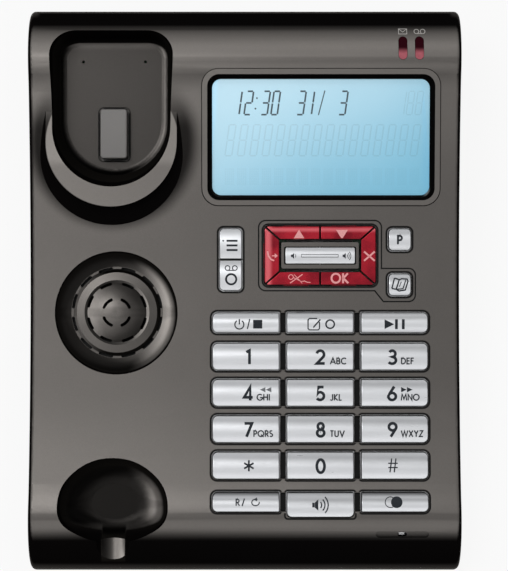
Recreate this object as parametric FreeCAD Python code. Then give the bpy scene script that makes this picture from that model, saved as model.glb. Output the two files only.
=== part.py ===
import FreeCAD, Part
import math
import os
from FreeCAD import Placement, Rotation, Vector

# Corded desk telephone base with a built-in answering machine.
# All sizes are in millimetres and degrees.
#
# Desk frame: +X to the right, +Y to the back, +Z up, Z = 0 on the desk,
# the origin under the middle of the body.
# Panel frame: x to the right, v up the sloping panel from the front,
# w square to the panel. Every piece that sits in the panel is drawn there.

# Body shape
panel_tilt = 8.0
front_height = 31.0
half_width_waist = 86.2
side_bow = 0.9
half_width_ends = half_width_waist + side_bow
side_edge_radius = 2.0
dish_front = 34.0
dish_length = 156.8
dish_sag = 3.2
dish_back = dish_front + dish_length
front_crease_length = 8.0
front_break_angle = 12.0
front_roll_radius = 24.0
back_crease_length = 7.2
back_break_angle = 14.0
back_roll_radius = 22.0

# Covers
cover_wall = 2.5
floor_wall = 2.5
split_height = 6.5
foot_height = 2.0
seam_lip_height = 2.0
seam_lip_wall = 1.4
seam_gap = 0.2
base_edge_radius = 1.0

# Ear pocket with its raised lip
ear_side_inset = 32.8
ear_x = ear_side_inset - half_width_waist
ear_rim_half_top = 24.9
ear_rim_radius = 23.9
ear_past_dish = 25.4
ear_rim_back = dish_back + ear_past_dish
ear_rim_straight = 39.3
ear_rim_spring = ear_rim_back - ear_rim_straight
ear_rim_corner = 10.4
ear_back_draft = 2.2
ear_floor_back = ear_rim_back - ear_back_draft
ear_floor_straight = 33.2
ear_floor_spring = ear_floor_back - ear_floor_straight
ear_floor_radius = 22.0
ear_floor_corner = 8.0
ear_rim_level = 3.0
ear_depth = 20.0
ear_floor_round = 3.0
tub_wall = 2.0
lip_width = 2.3
lip_radius = ear_rim_radius + lip_width
lip_forward = 5.9
lip_spring = ear_rim_spring - lip_forward
lip_run_back = 7.1
lip_meets_panel = ear_rim_spring + lip_run_back
lip_flare = 8.0
lip_side_flare = 3.0
ear_pin_radius = 0.6
ear_pin_offset = 12.7
ear_pin_inset = 9.1
ear_pin_v = ear_floor_back - ear_pin_inset

# Hook button
hook_width = 11.0
hook_length = 20.2
hook_below_spring = 5.7
hook_v = ear_floor_spring - hook_below_spring
hook_stand = 6.0
hook_travel = 4.5
hook_gap = 0.45
hook_corner = 1.3
hook_flange = 1.2
hook_flange_thick = 1.5
hook_post_radius = 2.0
hook_post_length = 5.0
hook_post_back = 5.0
spring_radius = 3.1
spring_wire = 0.35
spring_turns = 6
hook_board_drop = 12.0
hook_board_thick = 1.2
hook_board_half_width = 9.0
hook_board_half_length = 16.8
hook_switch_width = 6.0
hook_switch_length = 6.4

# Mouth pocket and cord notch
mouth_from_ear = 0.5
mouth_x = ear_x + mouth_from_ear
mouth_v = 24.4
mouth_half_width = 22.2
mouth_back = 20.0
mouth_front = 14.0
mouth_depth = 15.0
mouth_flat = 0.42
notch_radius = 6.5
notch_axis_height = 26.9
notch_length = 20.0

# Speaker dish
dish_from_ear = 1.8
dish_x = ear_x + dish_from_ear
dish_below_lip = 34.3
dish_v = lip_spring - lip_radius - lip_flare - dish_below_lip
dish_radius = 24.2
dish_trough = 6.0
dish_centre_rise = 3.6
dish_ring_inner = 13.1
dish_ring_outer = 16.8
slot_width = 1.2
slot_ring_radii = (5.5, 11.7, 17.8)
slot_lengths = (5.5, 5.2, 6.0)
slot_counts = (4, 8, 12)

# Display
display_from_ear = 11.3
display_left = ear_x + ear_rim_half_top + display_from_ear
display_side_inset = 7.9
display_right = half_width_waist - display_side_inset
display_past_dish = 9.2
display_back = dish_back + display_past_dish
display_gap = 8.2
display_corner = 6.8
bezel_ring = 2.2
bezel_proud = 0.3
bezel_seat_gap = 0.009
bezel_flange = 2.0
bezel_flange_thick = 1.2
bezel_gap = 0.2
window_draft = 1.9
window_seat = 1.2
window_thick = 1.0
lcd_thick = 1.9
backlight_thick = 2.4
holder_wall = 1.2

# Keys
display_shift = 0.35
keypad_x = (display_left + display_right) / 2 - display_shift
keypad_narrower = 6.25
key_pitch_x = (display_right - display_left - keypad_narrower) / 3
column_gap = 3.05
key_width = key_pitch_x - column_gap
key_length = 10.7
key_pitch_v = 14.5
service_row_v = 26.9
first_digit_v = service_row_v + 4 * key_pitch_v
function_key_length = 8.0
function_row_pitch = 13.6
function_row_v = first_digit_v + function_row_pitch
service_key_length = 7.6
handsfree_key_length = 9.7
key_gap = 0.4
key_stand = 0.9
key_crown = 1.0
key_corner = 2.0
key_inner_corner = 0.5
key_edge_round = 0.4
key_flange = 0.9
key_flange_thick = 1.0
key_travel = 1.2
flange_gap = 0.1
row_recess = 0.8
stem_share = 0.55

# Navigation keys
nav_row_pitch = 26.9
nav_v = function_row_v + nav_row_pitch
rocker_length = 28.0
rocker_width = 6.6
rocker_gap = 0.45
rocker_side_gap = 0.3
island_end_wall = 1.25
island_side_wall = 1.8
island_width = rocker_length + 2 * (rocker_gap + island_end_wall)
island_length = rocker_width + 2 * (rocker_side_gap + island_side_wall)
island_end_gap = 0.65
island_side_gap = 1.1
nav_inner_width = island_width + 2 * island_end_gap
nav_inner_length = island_length + 2 * island_side_gap
ring_key_width = 6.0
ring_key_length = 5.3
nav_width = nav_inner_width + 2 * ring_key_width
nav_length = nav_inner_length + 2 * ring_key_length
nav_corner = 1.8
nav_gap = 0.4
nav_stand = 1.3
island_stand = 0.9
rocker_stand = 2.0
rocker_pin_radius = 0.8
rocker_pin_gap = 0.05
rocker_pin_length = 0.9
rocker_axis_depth = 3.0
rocker_body_depth = 5.0
island_depth = 6.0
island_leg = 2.0
nav_line_width = 0.35
nav_line_depth = 0.35

# Small keys beside the ring
side_key_width = 8.9
side_keys_reach = 13.5
side_keys_x = keypad_x - nav_width / 2 - side_keys_reach
side_keys_drop = 1.6
side_keys_v = nav_v - side_keys_drop
side_keys_length = 24.8
side_keys_split = 0.5
right_key_reach = 9.55
right_key_x = keypad_x + nav_width / 2 + right_key_reach
right_key_width = 8.9
right_key_length = 8.7
program_key_rise = 6.4
program_key_v = nav_v + program_key_rise
phonebook_key_drop = 11.7
phonebook_key_v = nav_v - phonebook_key_drop
small_key_corner = 1.6

# Indicator lenses
lens_width = 3.3
lens_length = 9.2
display_front = nav_v + nav_length / 2 + display_gap
lens_above_display = 8.3
lens_v = display_back + lens_above_display
message_lens_inset = 15.1
message_lens_x = display_right - message_lens_inset
lens_pitch = 6.6
power_lens_x = message_lens_x + lens_pitch
lens_proud = 0.3
lens_depth = 8.0
lens_gap = 0.15
led_size = 2.4
led_height = 1.2
led_board_thick = 1.0

# Microphone
mic_past_column = 3.05
mic_slot_x = keypad_x + key_pitch_x + mic_past_column
mic_slot_v = 13.9
mic_slot_length = 21.0
mic_slot_width = 2.6
mic_slot_depth = 0.8
mic_hole_length = 3.7
mic_hole_width = 1.6
mic_radius = 3.0
mic_height = 2.4
boot_wall = 1.3
boot_depth = 4.2
boot_gap = 0.1
boot_seat_wall = 1.2

# Boards
board_level = 11.0
board_thick = 1.6
column_reach = key_pitch_x + key_width / 2
board_post_past_columns = 4.2
board_post_past_keys = 7.0
board_post_left = min(keypad_x - column_reach - board_post_past_columns,
                      side_keys_x - side_key_width / 2 - board_post_past_keys)
board_post_past_right_keys = 4.0
board_post_right = max(keypad_x + column_reach + board_post_past_columns,
                       right_key_x + right_key_width / 2 + board_post_past_right_keys)
board_margin = 2.5
board_left = board_post_left - board_margin
board_right = board_post_right + board_margin
board_front = 18.0
board_above_ring = 3.8
board_back = nav_v + nav_length / 2 + board_above_ring
mat_base = 0.8
dome_height = 0.9
dome_radius = 2.6
board_post_radius = 2.4
board_post_inset = 3.7
board_post_rows = (board_front + board_post_inset, 78.0, board_back - board_post_inset)
board_screw_radius = 0.85
board_screw_head = 1.9
board_screw_head_height = 1.4
board_screw_reach = 4.5
pilot_gap = 0.05
cable_width = 22.0
cable_thick = 0.3
cable_lap = 6.0

# Speaker
speaker_radius = 22.5
speaker_flange = 1.2
speaker_rim = 3.0
speaker_cup_depth = 8.0
speaker_cup_wall = 0.8
magnet_radius = 11.0
magnet_height = 6.0
cone_gap = 0.5
cone_wall = 0.5
coil_radius = 4.5
speaker_screw_ring = 24.7
speaker_screw_count = 3
speaker_screw_head = 2.9
speaker_room_gap = 0.8

# Cover screws
boss_radius = 3.2
cover_screw_radius = 1.3
cover_screw_head = 2.8
cover_screw_head_height = 2.0
cover_screw_reach = 9.0
screw_well_wall = 1.2
boss_inset = 5.9
handset_jack_from_dish = 22.5
handset_jack_v = dish_v - handset_jack_from_dish
boss_from_jack = 18.0
boss_x = half_width_waist - boss_inset
boss_from_display = 4.8
boss_between_x = display_left - boss_from_display
boss_back_v = lens_v - 1.8
boss_left_v = handset_jack_v - boss_from_jack
boss_right_v = 50.0
boss_places = ((-boss_x, boss_left_v), (boss_x, boss_right_v), (boss_between_x, boss_back_v), (boss_x, boss_back_v))

# Rear sockets
rear_board_thick = 1.6
rear_board_level = 8.0
rear_board_depth = 16.0
rear_board_side_inset = 10.2
rear_board_left = rear_board_side_inset - half_width_waist
rear_board_width = 49.0
rear_board_right = rear_board_left + rear_board_width
rear_post_radius = 2.6
line_jack_inset = 18.0
line_jack_x = rear_board_left + line_jack_inset
line_jack_width = 13.0
line_jack_height = 11.5
line_jack_length = 14.0
line_socket_width = 9.7
line_socket_height = 6.7
line_socket_depth = 11.0
jack_pitch = 20.0
power_jack_x = line_jack_x + jack_pitch
power_jack_width = 9.0
power_jack_height = 11.0
power_jack_length = 13.0
power_hole_radius = 2.9
power_pin_radius = 1.05
power_hole_depth = 9.5
jack_gap = 0.3
jack_recess = 0.4

# Handset socket on the left side
handset_jack_width = 11.0
handset_jack_height = 11.0
handset_jack_length = 13.0
handset_socket_width = 7.7
handset_socket_height = 5.9
handset_socket_depth = 10.0
socket_key_width = 3.6
socket_key_height = 1.6

# Underside
foot_radius = 6.0
foot_recess = 0.8
foot_side_inset = 14.2
foot_x = half_width_waist - foot_side_inset
foot_front_inset = 16.0
foot_back_inset = 14.0
label_width = 62.0
label_length = 34.0
label_depth = 0.4
keyhole_spacing = 83.0
keyhole_big = 4.2
keyhole_slot = 2.1
keyhole_run = 8.0
keyhole_y = 20.0
vent_count = 7
vent_width = 1.8
vent_length = 22.0
vent_pitch = 4.4
vent_x = 40.0
vent_y = 66.0


def sind(angle):
    return math.sin(math.radians(angle))


def cosd(angle):
    return math.cos(math.radians(angle))


# Side profile: five arcs, tangent to each other, and two upright walls.
# An angle is how far the surface's normal leans from the panel's normal
# towards the front.

def outward(angle):
    return Vector(0, -sind(angle), cosd(angle))


def next_arc(start, start_angle, end_angle, radius, bulge, inset):
    """One arc of the profile: bulge is 1 for a crown and -1 for a hollow."""
    inner_start = start - outward(start_angle) * inset
    inner_radius = radius - bulge * inset
    centre = start - outward(start_angle) * (bulge * radius)
    middle = centre + outward((start_angle + end_angle) / 2) * (bulge * inner_radius)
    inner_end = centre + outward(end_angle) * (bulge * inner_radius)
    end = centre + outward(end_angle) * (bulge * radius)
    return {"from": inner_start, "via": middle, "to": inner_end, "end": end,
            "centre": centre, "radius": inner_radius, "bulge": bulge}


dish_radius_of_curve = ((dish_length / 2) ** 2 + dish_sag ** 2) / (2 * dish_sag)
dish_end_angle = math.degrees(math.asin(dish_length / 2 / dish_radius_of_curve))
front_crease_radius = front_crease_length / (sind(front_break_angle) - sind(dish_end_angle))
back_crease_radius = back_crease_length / (sind(back_break_angle) - sind(dish_end_angle))


def profile_arcs(inset):
    """The arcs from the front wall to the back wall."""
    front_end = Vector(0, dish_front, 0)
    back_end = Vector(0, dish_back, 0)
    dish = next_arc(front_end, -dish_end_angle, dish_end_angle,
                    dish_radius_of_curve, -1, inset)
    front_crease = next_arc(front_end, -dish_end_angle, -front_break_angle,
                            front_crease_radius, -1, inset)
    front_roll = next_arc(front_crease["end"], -front_break_angle, 90 - panel_tilt,
                          front_roll_radius, 1, inset)
    back_crease = next_arc(back_end, dish_end_angle, back_break_angle,
                           back_crease_radius, -1, inset)
    back_roll = next_arc(back_crease["end"], back_break_angle, -90 - panel_tilt,
                         back_roll_radius, 1, inset)
    return [front_roll, front_crease, dish, back_crease, back_roll]


def in_desk(v, w):
    """Y and Z of a panel point, counted from the panel frame's origin."""
    return v * cosd(panel_tilt) - w * sind(panel_tilt), v * sind(panel_tilt) + w * cosd(panel_tilt)


outer_arcs = profile_arcs(0)
front_centre = outer_arcs[0]["centre"]
back_centre = outer_arcs[-1]["centre"]
front_centre_y, front_centre_z = in_desk(front_centre.y, front_centre.z)
back_centre_y, back_centre_z = in_desk(back_centre.y, back_centre.z)
body_depth = (back_centre_y + back_roll_radius) - (front_centre_y - front_roll_radius)
panel_y = -body_depth / 2 + front_roll_radius - front_centre_y
panel_z = front_height - front_roll_radius - front_centre_z
panel_frame = Placement(Vector(0, panel_y, panel_z), Rotation(Vector(1, 0, 0), panel_tilt))
body_front = -body_depth / 2
body_back = body_depth / 2
wall_drop = 100.0


def surface(v, inset=0.0):
    """Height w of the body's surface, or of a copy inset from it, at v."""
    arcs = profile_arcs(inset)
    arcs[0]["low"] = arcs[0]["centre"].y - arcs[0]["radius"]
    for number, arc in enumerate(arcs):
        low = arc["low"] if number == 0 else arc["from"].y
        ends = sorted((arc["from"].y, arc["to"].y))
        low = min(low, ends[0])
        high = ends[1] if number < len(arcs) - 1 else arc["centre"].y + arc["radius"]
        if low <= v <= high:
            reach = math.sqrt(arc["radius"] ** 2 - (v - arc["centre"].y) ** 2)
            return arc["centre"].z + arc["bulge"] * reach
    raise ValueError("no surface at v = %s" % v)


def on_desk(shape):
    """Move a shape drawn in the panel frame into the desk frame."""
    moved = shape.copy()
    moved.Placement = panel_frame.multiply(moved.Placement)
    return moved


def in_panel(shape):
    """Move a shape drawn in the desk frame into the panel frame."""
    moved = shape.copy()
    moved.Placement = panel_frame.inverse().multiply(moved.Placement)
    return moved


# Shape helpers

def box(x0, x1, y0, y1, z0, z1):
    return Part.makeBox(x1 - x0, y1 - y0, z1 - z0, Vector(x0, y0, z0))


def rod(x, y, z0, z1, radius):
    return Part.makeCylinder(radius, z1 - z0, Vector(x, y, z0), Vector(0, 0, 1))


def polygon_wire(points):
    return Part.makePolygon(points + [points[0]])


def arc_edge(first, middle, last):
    return Part.Arc(first, middle, last).toShape()


def rounded_wire(x0, x1, y0, y1, z, corner, front_corner=None, left_corner=None):
    """A rectangle with round corners, drawn at height z.

    front_corner and left_corner, when given, are the radii at the low y end
    and at the low x end."""
    back = corner
    front = corner if front_corner is None else front_corner
    radii = {"right_back": back, "left_back": back, "left_front": front, "right_front": front}
    if left_corner is not None:
        radii["left_back"] = left_corner
        radii["left_front"] = left_corner
    corners = [("right_front", x1, y0, -1, 1), ("right_back", x1, y1, -1, -1),
               ("left_back", x0, y1, 1, -1), ("left_front", x0, y0, 1, 1)]
    edges = []
    starts = []
    ends = []
    for number, (name, x, y, side_x, side_y) in enumerate(corners):
        radius = radii[name]
        along_x = Vector(x + side_x * radius, y, z)
        along_y = Vector(x, y + side_y * radius, z)
        bow = radius * (1 - math.sqrt(0.5))
        middle = Vector(x + side_x * bow, y + side_y * bow, z)
        first, last = (along_x, along_y) if number % 2 == 0 else (along_y, along_x)
        starts.append(first)
        ends.append(last)
        edges.append(arc_edge(first, middle, last))
    loop = []
    for number in range(len(corners)):
        loop.append(edges[number])
        loop.append(Part.makeLine(ends[number], starts[(number + 1) % len(corners)]))
    return Part.Wire(loop)


def extrude(wire, height):
    return Part.Face(wire).extrude(Vector(0, 0, height))


def plate(x0, x1, y0, y1, z0, z1, corner, front_corner=None, left_corner=None):
    wire = rounded_wire(x0, x1, y0, y1, z0, corner, front_corner, left_corner)
    return extrude(wire, z1 - z0)


def joined(shapes):
    whole = shapes[0]
    if len(shapes) > 1:
        whole = whole.multiFuse(shapes[1:])
    return whole.removeSplitter()


def top_edges(shape, level):
    """Edges that lie wholly above a level."""
    return [edge for edge in shape.Edges if edge.BoundBox.ZMin > level]


# Body

def side_wall(y):
    """How far the body's sides lie from the middle at y: the waist is at y = 0."""
    radius = ((body_depth / 2) ** 2 + side_bow ** 2) / (2 * side_bow)
    return half_width_waist + radius - math.sqrt(radius ** 2 - y ** 2)


def side_slab(inset, z0, z1, past_ends=0.0):
    """The plan of the body with its slightly waisted sides, as a tall slab."""
    front = body_front + inset - past_ends
    back = body_back - inset + past_ends
    waist = half_width_waist - inset
    front_half = side_wall(front) - inset
    back_half = side_wall(back) - inset
    corners = [Vector(front_half, front, z0), Vector(back_half, back, z0),
               Vector(-back_half, back, z0), Vector(-front_half, front, z0)]
    wire = Part.Wire([
        arc_edge(corners[0], Vector(waist, 0, z0), corners[1]),
        Part.makeLine(corners[1], corners[2]),
        arc_edge(corners[2], Vector(-waist, 0, z0), corners[3]),
        Part.makeLine(corners[3], corners[0])])
    return extrude(wire, z1 - z0)


def body_prism(inset, half_width):
    """The side profile drawn across the body, in the panel frame."""
    arcs = profile_arcs(inset)
    down = Vector(0, -sind(panel_tilt), -cosd(panel_tilt)) * wall_drop
    front_top = arcs[0]["to"]
    back_top = arcs[-1]["to"]
    edges = [Part.makeLine(front_top + down, front_top),
             arc_edge(front_top, arcs[0]["via"], arcs[0]["from"]),
             arc_edge(arcs[1]["to"], arcs[1]["via"], arcs[1]["from"])]
    for arc in arcs[2:]:
        edges.append(arc_edge(arc["from"], arc["via"], arc["to"]))
    edges.append(Part.makeLine(back_top, back_top + down))
    edges.append(Part.makeLine(back_top + down, front_top + down))
    profile = Part.Face(Part.Wire(edges))
    profile.translate(Vector(-half_width, 0, 0))
    return profile.extrude(Vector(2 * half_width, 0, 0))


def body_solid():
    """The whole outer body, in the desk frame, with rounded side edges."""
    low = -wall_drop / 2
    wide = body_prism(0, half_width_ends + 10)
    body = on_desk(wide).common(side_slab(0, low, front_height * 4, 5))
    side_edges = []
    for edge in body.Edges:
        box_of_edge = edge.BoundBox
        near_side = min(abs(box_of_edge.XMin), abs(box_of_edge.XMax)) > half_width_waist - 1
        if near_side and box_of_edge.ZMax > low + 1:
            side_edges.append(edge)
    return body.makeFillet(side_edge_radius, side_edges)


def cavity_solid():
    """The space inside the covers, in the desk frame."""
    wide = body_prism(cover_wall, half_width_ends + 10)
    return on_desk(wide).common(side_slab(cover_wall, -wall_drop / 2, front_height * 4, 5))


def sunk(plan, depth):
    """What a plan prism cuts from the panel when it stops at an even depth."""
    return plan.cut(body_prism(depth, half_width_ends + 20))


# Ear pocket

def ear_outline(half_top, radius, back, spring, corner, level):
    left_top = ear_x - half_top
    right_top = ear_x + half_top
    left = ear_x - radius
    right = ear_x + radius
    bow = corner * (1 - math.sqrt(0.5))
    side_left = Vector(left_top, back - corner, level)
    side_right = Vector(right_top, back - corner, level)
    top_left = Vector(left_top + corner, back, level)
    top_right = Vector(right_top - corner, back, level)
    spring_left = Vector(left, spring, level)
    spring_right = Vector(right, spring, level)
    lowest = Vector(ear_x, spring - radius, level)
    slant = radius * math.sqrt(0.5)
    return Part.Wire([
        Part.makeLine(top_right, top_left),
        arc_edge(top_left, Vector(left_top + bow, back - bow, level), side_left),
        Part.makeLine(side_left, spring_left),
        arc_edge(spring_left, Vector(ear_x - slant, spring - slant, level), lowest),
        arc_edge(lowest, Vector(ear_x + slant, spring - slant, level), spring_right),
        Part.makeLine(spring_right, side_right),
        arc_edge(side_right, Vector(right_top - bow, back - bow, level), top_right)])


def ear_section(level, grow):
    """The pocket's outline at a level, from the drafted walls."""
    share = (level + ear_depth) / (ear_rim_level + ear_depth)
    half_top = ear_floor_radius + share * (ear_rim_half_top - ear_floor_radius) + grow
    radius = ear_floor_radius + share * (ear_rim_radius - ear_floor_radius) + grow
    back = ear_floor_back + share * (ear_rim_back - ear_floor_back) + grow
    spring = ear_floor_spring + share * (ear_rim_spring - ear_floor_spring)
    corner = ear_floor_corner + share * (ear_rim_corner - ear_floor_corner) + grow
    return ear_outline(half_top, radius, back, spring, corner, level)


def ear_space(grow, extra_depth, rounding):
    low = -ear_depth - extra_depth
    high = ear_rim_level + 8
    block = Part.makeLoft([ear_section(low, grow), ear_section(high, grow)], True, True)
    floor_edges = [edge for edge in block.Edges if edge.BoundBox.ZMax < low + 0.01]
    return block.makeFillet(rounding, floor_edges)


def lip_section(share):
    """One U of the raised lip, in a plane that fans from the lip to the panel."""
    hinge_v = lip_meets_panel
    end_v = lip_meets_panel - 1.0
    lip_slope = -math.tan(math.radians(panel_tilt))
    far_v = lip_spring - lip_radius - lip_flare
    lip_far = surface(hinge_v) + lip_slope * (far_v - hinge_v)
    lip_near = surface(hinge_v) + 0.1
    base_far = surface(far_v) - 0.6
    base_near = surface(end_v) - 0.8
    far_w = lip_far + share * (base_far - lip_far)
    near_w = lip_near + share * (base_near - lip_near)
    slope = (near_w - far_w) / (end_v - far_v)
    spread = share ** 2.2
    radius = lip_radius + spread * lip_side_flare
    spring = lip_spring - spread * (lip_flare - lip_side_flare)
    slant = radius * math.sqrt(0.5)

    def at(x, v):
        return Vector(x, v, far_w + slope * (v - far_v))

    left_end = at(ear_x - radius, end_v)
    left = at(ear_x - radius, spring)
    lowest = at(ear_x, spring - radius)
    right = at(ear_x + radius, spring)
    right_end = at(ear_x + radius, end_v)
    return Part.Wire([
        Part.makeLine(left_end, left),
        arc_edge(left, at(ear_x - slant, spring - slant), lowest),
        arc_edge(lowest, at(ear_x + slant, spring - slant), right),
        Part.makeLine(right, right_end),
        Part.makeLine(right_end, left_end)])


def lip_mound():
    """The raised lip round the lower half of the ear pocket."""
    return Part.makeLoft([lip_section(share) for share in (0.0, 0.4, 0.75, 1.0)], True, False)


# Mouth pocket

def mouth_section(depth, grow):
    """One outline of the mouth pocket, narrower the deeper it lies."""
    share = depth / mouth_depth
    scale = mouth_flat + (1 - mouth_flat) * math.sqrt(max(0.0, 1 - share ** 2.4))
    half = mouth_half_width * scale + grow
    back = mouth_back * scale + grow
    front = mouth_front * scale + grow
    level = surface(mouth_v) - depth
    centre = Vector(mouth_x, mouth_v, level)
    left = centre + Vector(-half, 0, 0)
    right = centre + Vector(half, 0, 0)
    edges = []
    for reach, ends in ((back, (right, left)), (-front, (left, right))):
        tip = centre + Vector(0, reach, 0)
        first, last = ends
        side = 1 if first.x > centre.x else -1
        bow_x = half * math.sqrt(0.5)
        bow_y = reach * math.sqrt(0.5)
        near = centre + Vector(side * bow_x, bow_y, 0)
        far = centre + Vector(-side * bow_x, bow_y, 0)
        for start, middle, end, tangents in (
                (first, near, tip, (Vector(0, reach, 0), Vector(-side, 0, 0))),
                (tip, far, last, (Vector(-side, 0, 0), Vector(0, -reach, 0)))):
            curve = Part.BSplineCurve()
            curve.interpolate(Points=[start, middle, end], InitialTangent=tangents[0],
                              FinalTangent=tangents[1])
            edges.append(curve.toShape())
    return Part.Wire(edges)


def mouth_space(grow):
    depths = [-6.0, 0.0, 4.0, 8.0, 11.5, 14.0, mouth_depth + grow * 0.8]
    sections = []
    for depth in depths:
        shown = min(max(depth, 0.0), mouth_depth)
        wire = mouth_section(shown, grow)
        wire.translate(Vector(0, 0, shown - depth))
        sections.append(wire)
    return Part.makeLoft(sections, True, False)


def notch_space(grow):
    """The half-round channel for the cord, level with the desk."""
    start = Vector(mouth_x, body_front - 5, notch_axis_height)
    reach = notch_length + 5
    channel = Part.makeCylinder(notch_radius + grow, reach, start, Vector(0, 1, 0))
    above = box(mouth_x - notch_radius - grow, mouth_x + notch_radius + grow,
                start.y, start.y + reach, notch_axis_height, notch_axis_height + 30)
    return channel.fuse(above).removeSplitter()


# Speaker dish

def revolved(points, x, v):
    """Turn a half outline of (radius, w) points round an upright axis."""
    outline = [Vector(radius, 0, height) for radius, height in points]
    face = Part.Face(polygon_wire(outline))
    solid = face.revolve(Vector(0, 0, 0), Vector(0, 0, 1), 360)
    solid.translate(Vector(x, v, 0))
    return solid


dish_rim = surface(dish_v)
dish_low = dish_rim - dish_trough
dish_middle = dish_low + dish_centre_rise
dish_seat = dish_low - 2.0


def dish_space():
    """The dish's hollow: a sloping wall, a trough and a shallow dome."""
    trough_radius = (slot_ring_radii[-1] + dish_ring_outer) / 2
    ring_level = dish_low + dish_centre_rise * 0.45
    hub_edge = dish_ring_inner - 1.2
    points = [Vector(0, 0, dish_middle)]
    hub = arc_edge(Vector(0, 0, dish_middle),
                   Vector(hub_edge * 0.55, 0, dish_middle - (dish_middle - ring_level) * 0.3),
                   Vector(hub_edge, 0, ring_level - 0.5))
    edges = [hub]
    points = [Vector(hub_edge, 0, ring_level - 0.5), Vector(dish_ring_inner, 0, ring_level),
              Vector(dish_ring_outer - 0.6, 0, ring_level - 0.3),
              Vector(trough_radius + 0.3, 0, dish_low),
              Vector(trough_radius + 1.2, 0, dish_low)]
    for first, last in zip(points, points[1:]):
        edges.append(Part.makeLine(first, last))
    wall_foot = points[-1]
    wall_top = Vector(dish_radius + 0.8, 0, dish_rim + 1.2)
    wall_middle = Vector((wall_foot.x + wall_top.x) / 2 + 0.9, 0,
                         (wall_foot.z + wall_top.z) / 2 - 0.9)
    edges.append(arc_edge(wall_foot, wall_middle, wall_top))
    above = dish_rim + 8
    edges.append(Part.makeLine(wall_top, Vector(wall_top.x, 0, above)))
    edges.append(Part.makeLine(Vector(wall_top.x, 0, above), Vector(0, 0, above)))
    edges.append(Part.makeLine(Vector(0, 0, above), Vector(0, 0, dish_middle)))
    face = Part.Face(Part.Wire(edges))
    solid = face.revolve(Vector(0, 0, 0), Vector(0, 0, 1), 360)
    solid.translate(Vector(dish_x, dish_v, 0))
    return solid


def dish_block():
    """The moulding that carries the dish and the speaker's seat."""
    outer = dish_radius + cover_wall
    top = dish_rim + 1
    middle = dish_middle - cover_wall
    seat_inner = speaker_radius - speaker_rim
    points = [(0, middle), (dish_ring_inner, middle - 1.0), (seat_inner, dish_seat),
              (outer, dish_seat), (outer, top), (0, top)]
    return revolved(points, dish_x, dish_v)


def arc_slot(radius, angle, length, z0, z1):
    """A curved slot with round ends, centred on the dish's axis."""
    half = math.degrees(length / 2 / radius) - math.degrees(slot_width / 2 / radius)
    inner = radius - slot_width / 2
    outer = radius + slot_width / 2

    def at(distance, turn):
        return Vector(dish_x + distance * cosd(turn), dish_v + distance * sind(turn), z0)

    low = angle - half
    high = angle + half
    tip = slot_width / 2
    low_tip = at(radius, low) + Vector(sind(low), -cosd(low), 0) * tip
    high_tip = at(radius, high) + Vector(-sind(high), cosd(high), 0) * tip
    wire = Part.Wire([
        arc_edge(at(outer, low), at(outer, angle), at(outer, high)),
        arc_edge(at(outer, high), high_tip, at(inner, high)),
        arc_edge(at(inner, high), at(inner, angle), at(inner, low)),
        arc_edge(at(inner, low), low_tip, at(outer, low))])
    return extrude(wire, z1 - z0)


def speaker_slots():
    slots = []
    for radius, length, count in zip(slot_ring_radii, slot_lengths, slot_counts):
        for number in range(count):
            angle = (number + 0.5) * 360.0 / count
            slots.append(arc_slot(radius, angle, length, dish_seat - 3, dish_rim))
    return slots


# Display frame: its own slope, set by the panel at its two ends

bezel_slope = math.degrees(math.atan2(surface(display_back) - surface(display_front),
                                      display_back - display_front))
bezel_frame = Placement(Vector(0, display_front, surface(display_front)),
                        Rotation(Vector(1, 0, 0), bezel_slope))
bezel_length = (display_back - display_front) / cosd(bezel_slope)


def deepest_drop():
    """How far the top cover's underside dips below the line between the display's two ends."""
    steps = 40
    drops = []
    for step in range(steps + 1):
        share = step / steps
        v = display_front + (display_back - display_front) * share
        level = surface(display_front) + (surface(display_back) - surface(display_front)) * share
        drops.append(level - surface(v, cover_wall))
    return max(drops)


bezel_depth = deepest_drop() + bezel_seat_gap


def on_bezel(shape):
    """Move a shape drawn on the display's slope into the panel frame."""
    moved = shape.copy()
    moved.Placement = bezel_frame.multiply(moved.Placement)
    return moved


def display_plate(inset, z0, z1):
    corner = max(display_corner - inset, 0.5)
    return plate(display_left + inset, display_right - inset, inset, bezel_length - inset,
                 z0, z1, corner)


def make_display_bezel():
    low = -bezel_depth - bezel_flange_thick
    ring = display_plate(0, -bezel_depth, bezel_proud)
    ring = ring.makeFillet(0.25, top_edges(ring, bezel_proud - 0.01))
    flange = display_plate(-bezel_flange, low, -bezel_depth)
    body = joined([ring, flange])
    window_level = -bezel_depth + 0.2
    draft = window_draft / (bezel_proud - window_level)
    top_inset = bezel_ring - draft * 1.0
    wide = rounded_wire(display_left + top_inset, display_right - top_inset, top_inset,
                        bezel_length - top_inset, bezel_proud + 1.0, display_corner - top_inset)
    low_inset = bezel_ring + window_draft
    narrow = rounded_wire(display_left + low_inset, display_right - low_inset, low_inset,
                          bezel_length - low_inset, window_level, display_corner - bezel_ring - 1.0)
    sight = Part.makeLoft([narrow, wide], True, True)
    seat_inset = low_inset - window_seat
    seat = display_plate(seat_inset, low - 1, window_level)
    return body.cut(sight).cut(seat)


def layer(name_inset, top, thickness):
    return display_plate(name_inset, top - thickness, top)


window_top = -bezel_depth + 0.2
window_inset = bezel_ring + window_draft - window_seat + bezel_gap
lcd_top = window_top - window_thick
backlight_top = lcd_top - lcd_thick
holder_top = -bezel_depth - bezel_flange_thick


def make_display_window():
    return layer(window_inset, window_top, window_thick)


def make_lcd_panel():
    return layer(window_inset, lcd_top, lcd_thick)


def make_backlight():
    return layer(window_inset, backlight_top, backlight_thick)


def make_display_holder():
    """The tray that holds the glass and the light guide against the bezel."""
    low = backlight_top - backlight_thick - holder_wall
    outer = window_inset - holder_wall - bezel_gap
    inner = window_inset - bezel_gap
    tray = display_plate(outer, low, holder_top)
    hollow = display_plate(inner, low + holder_wall, holder_top + 1)
    return tray.cut(hollow)


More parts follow.
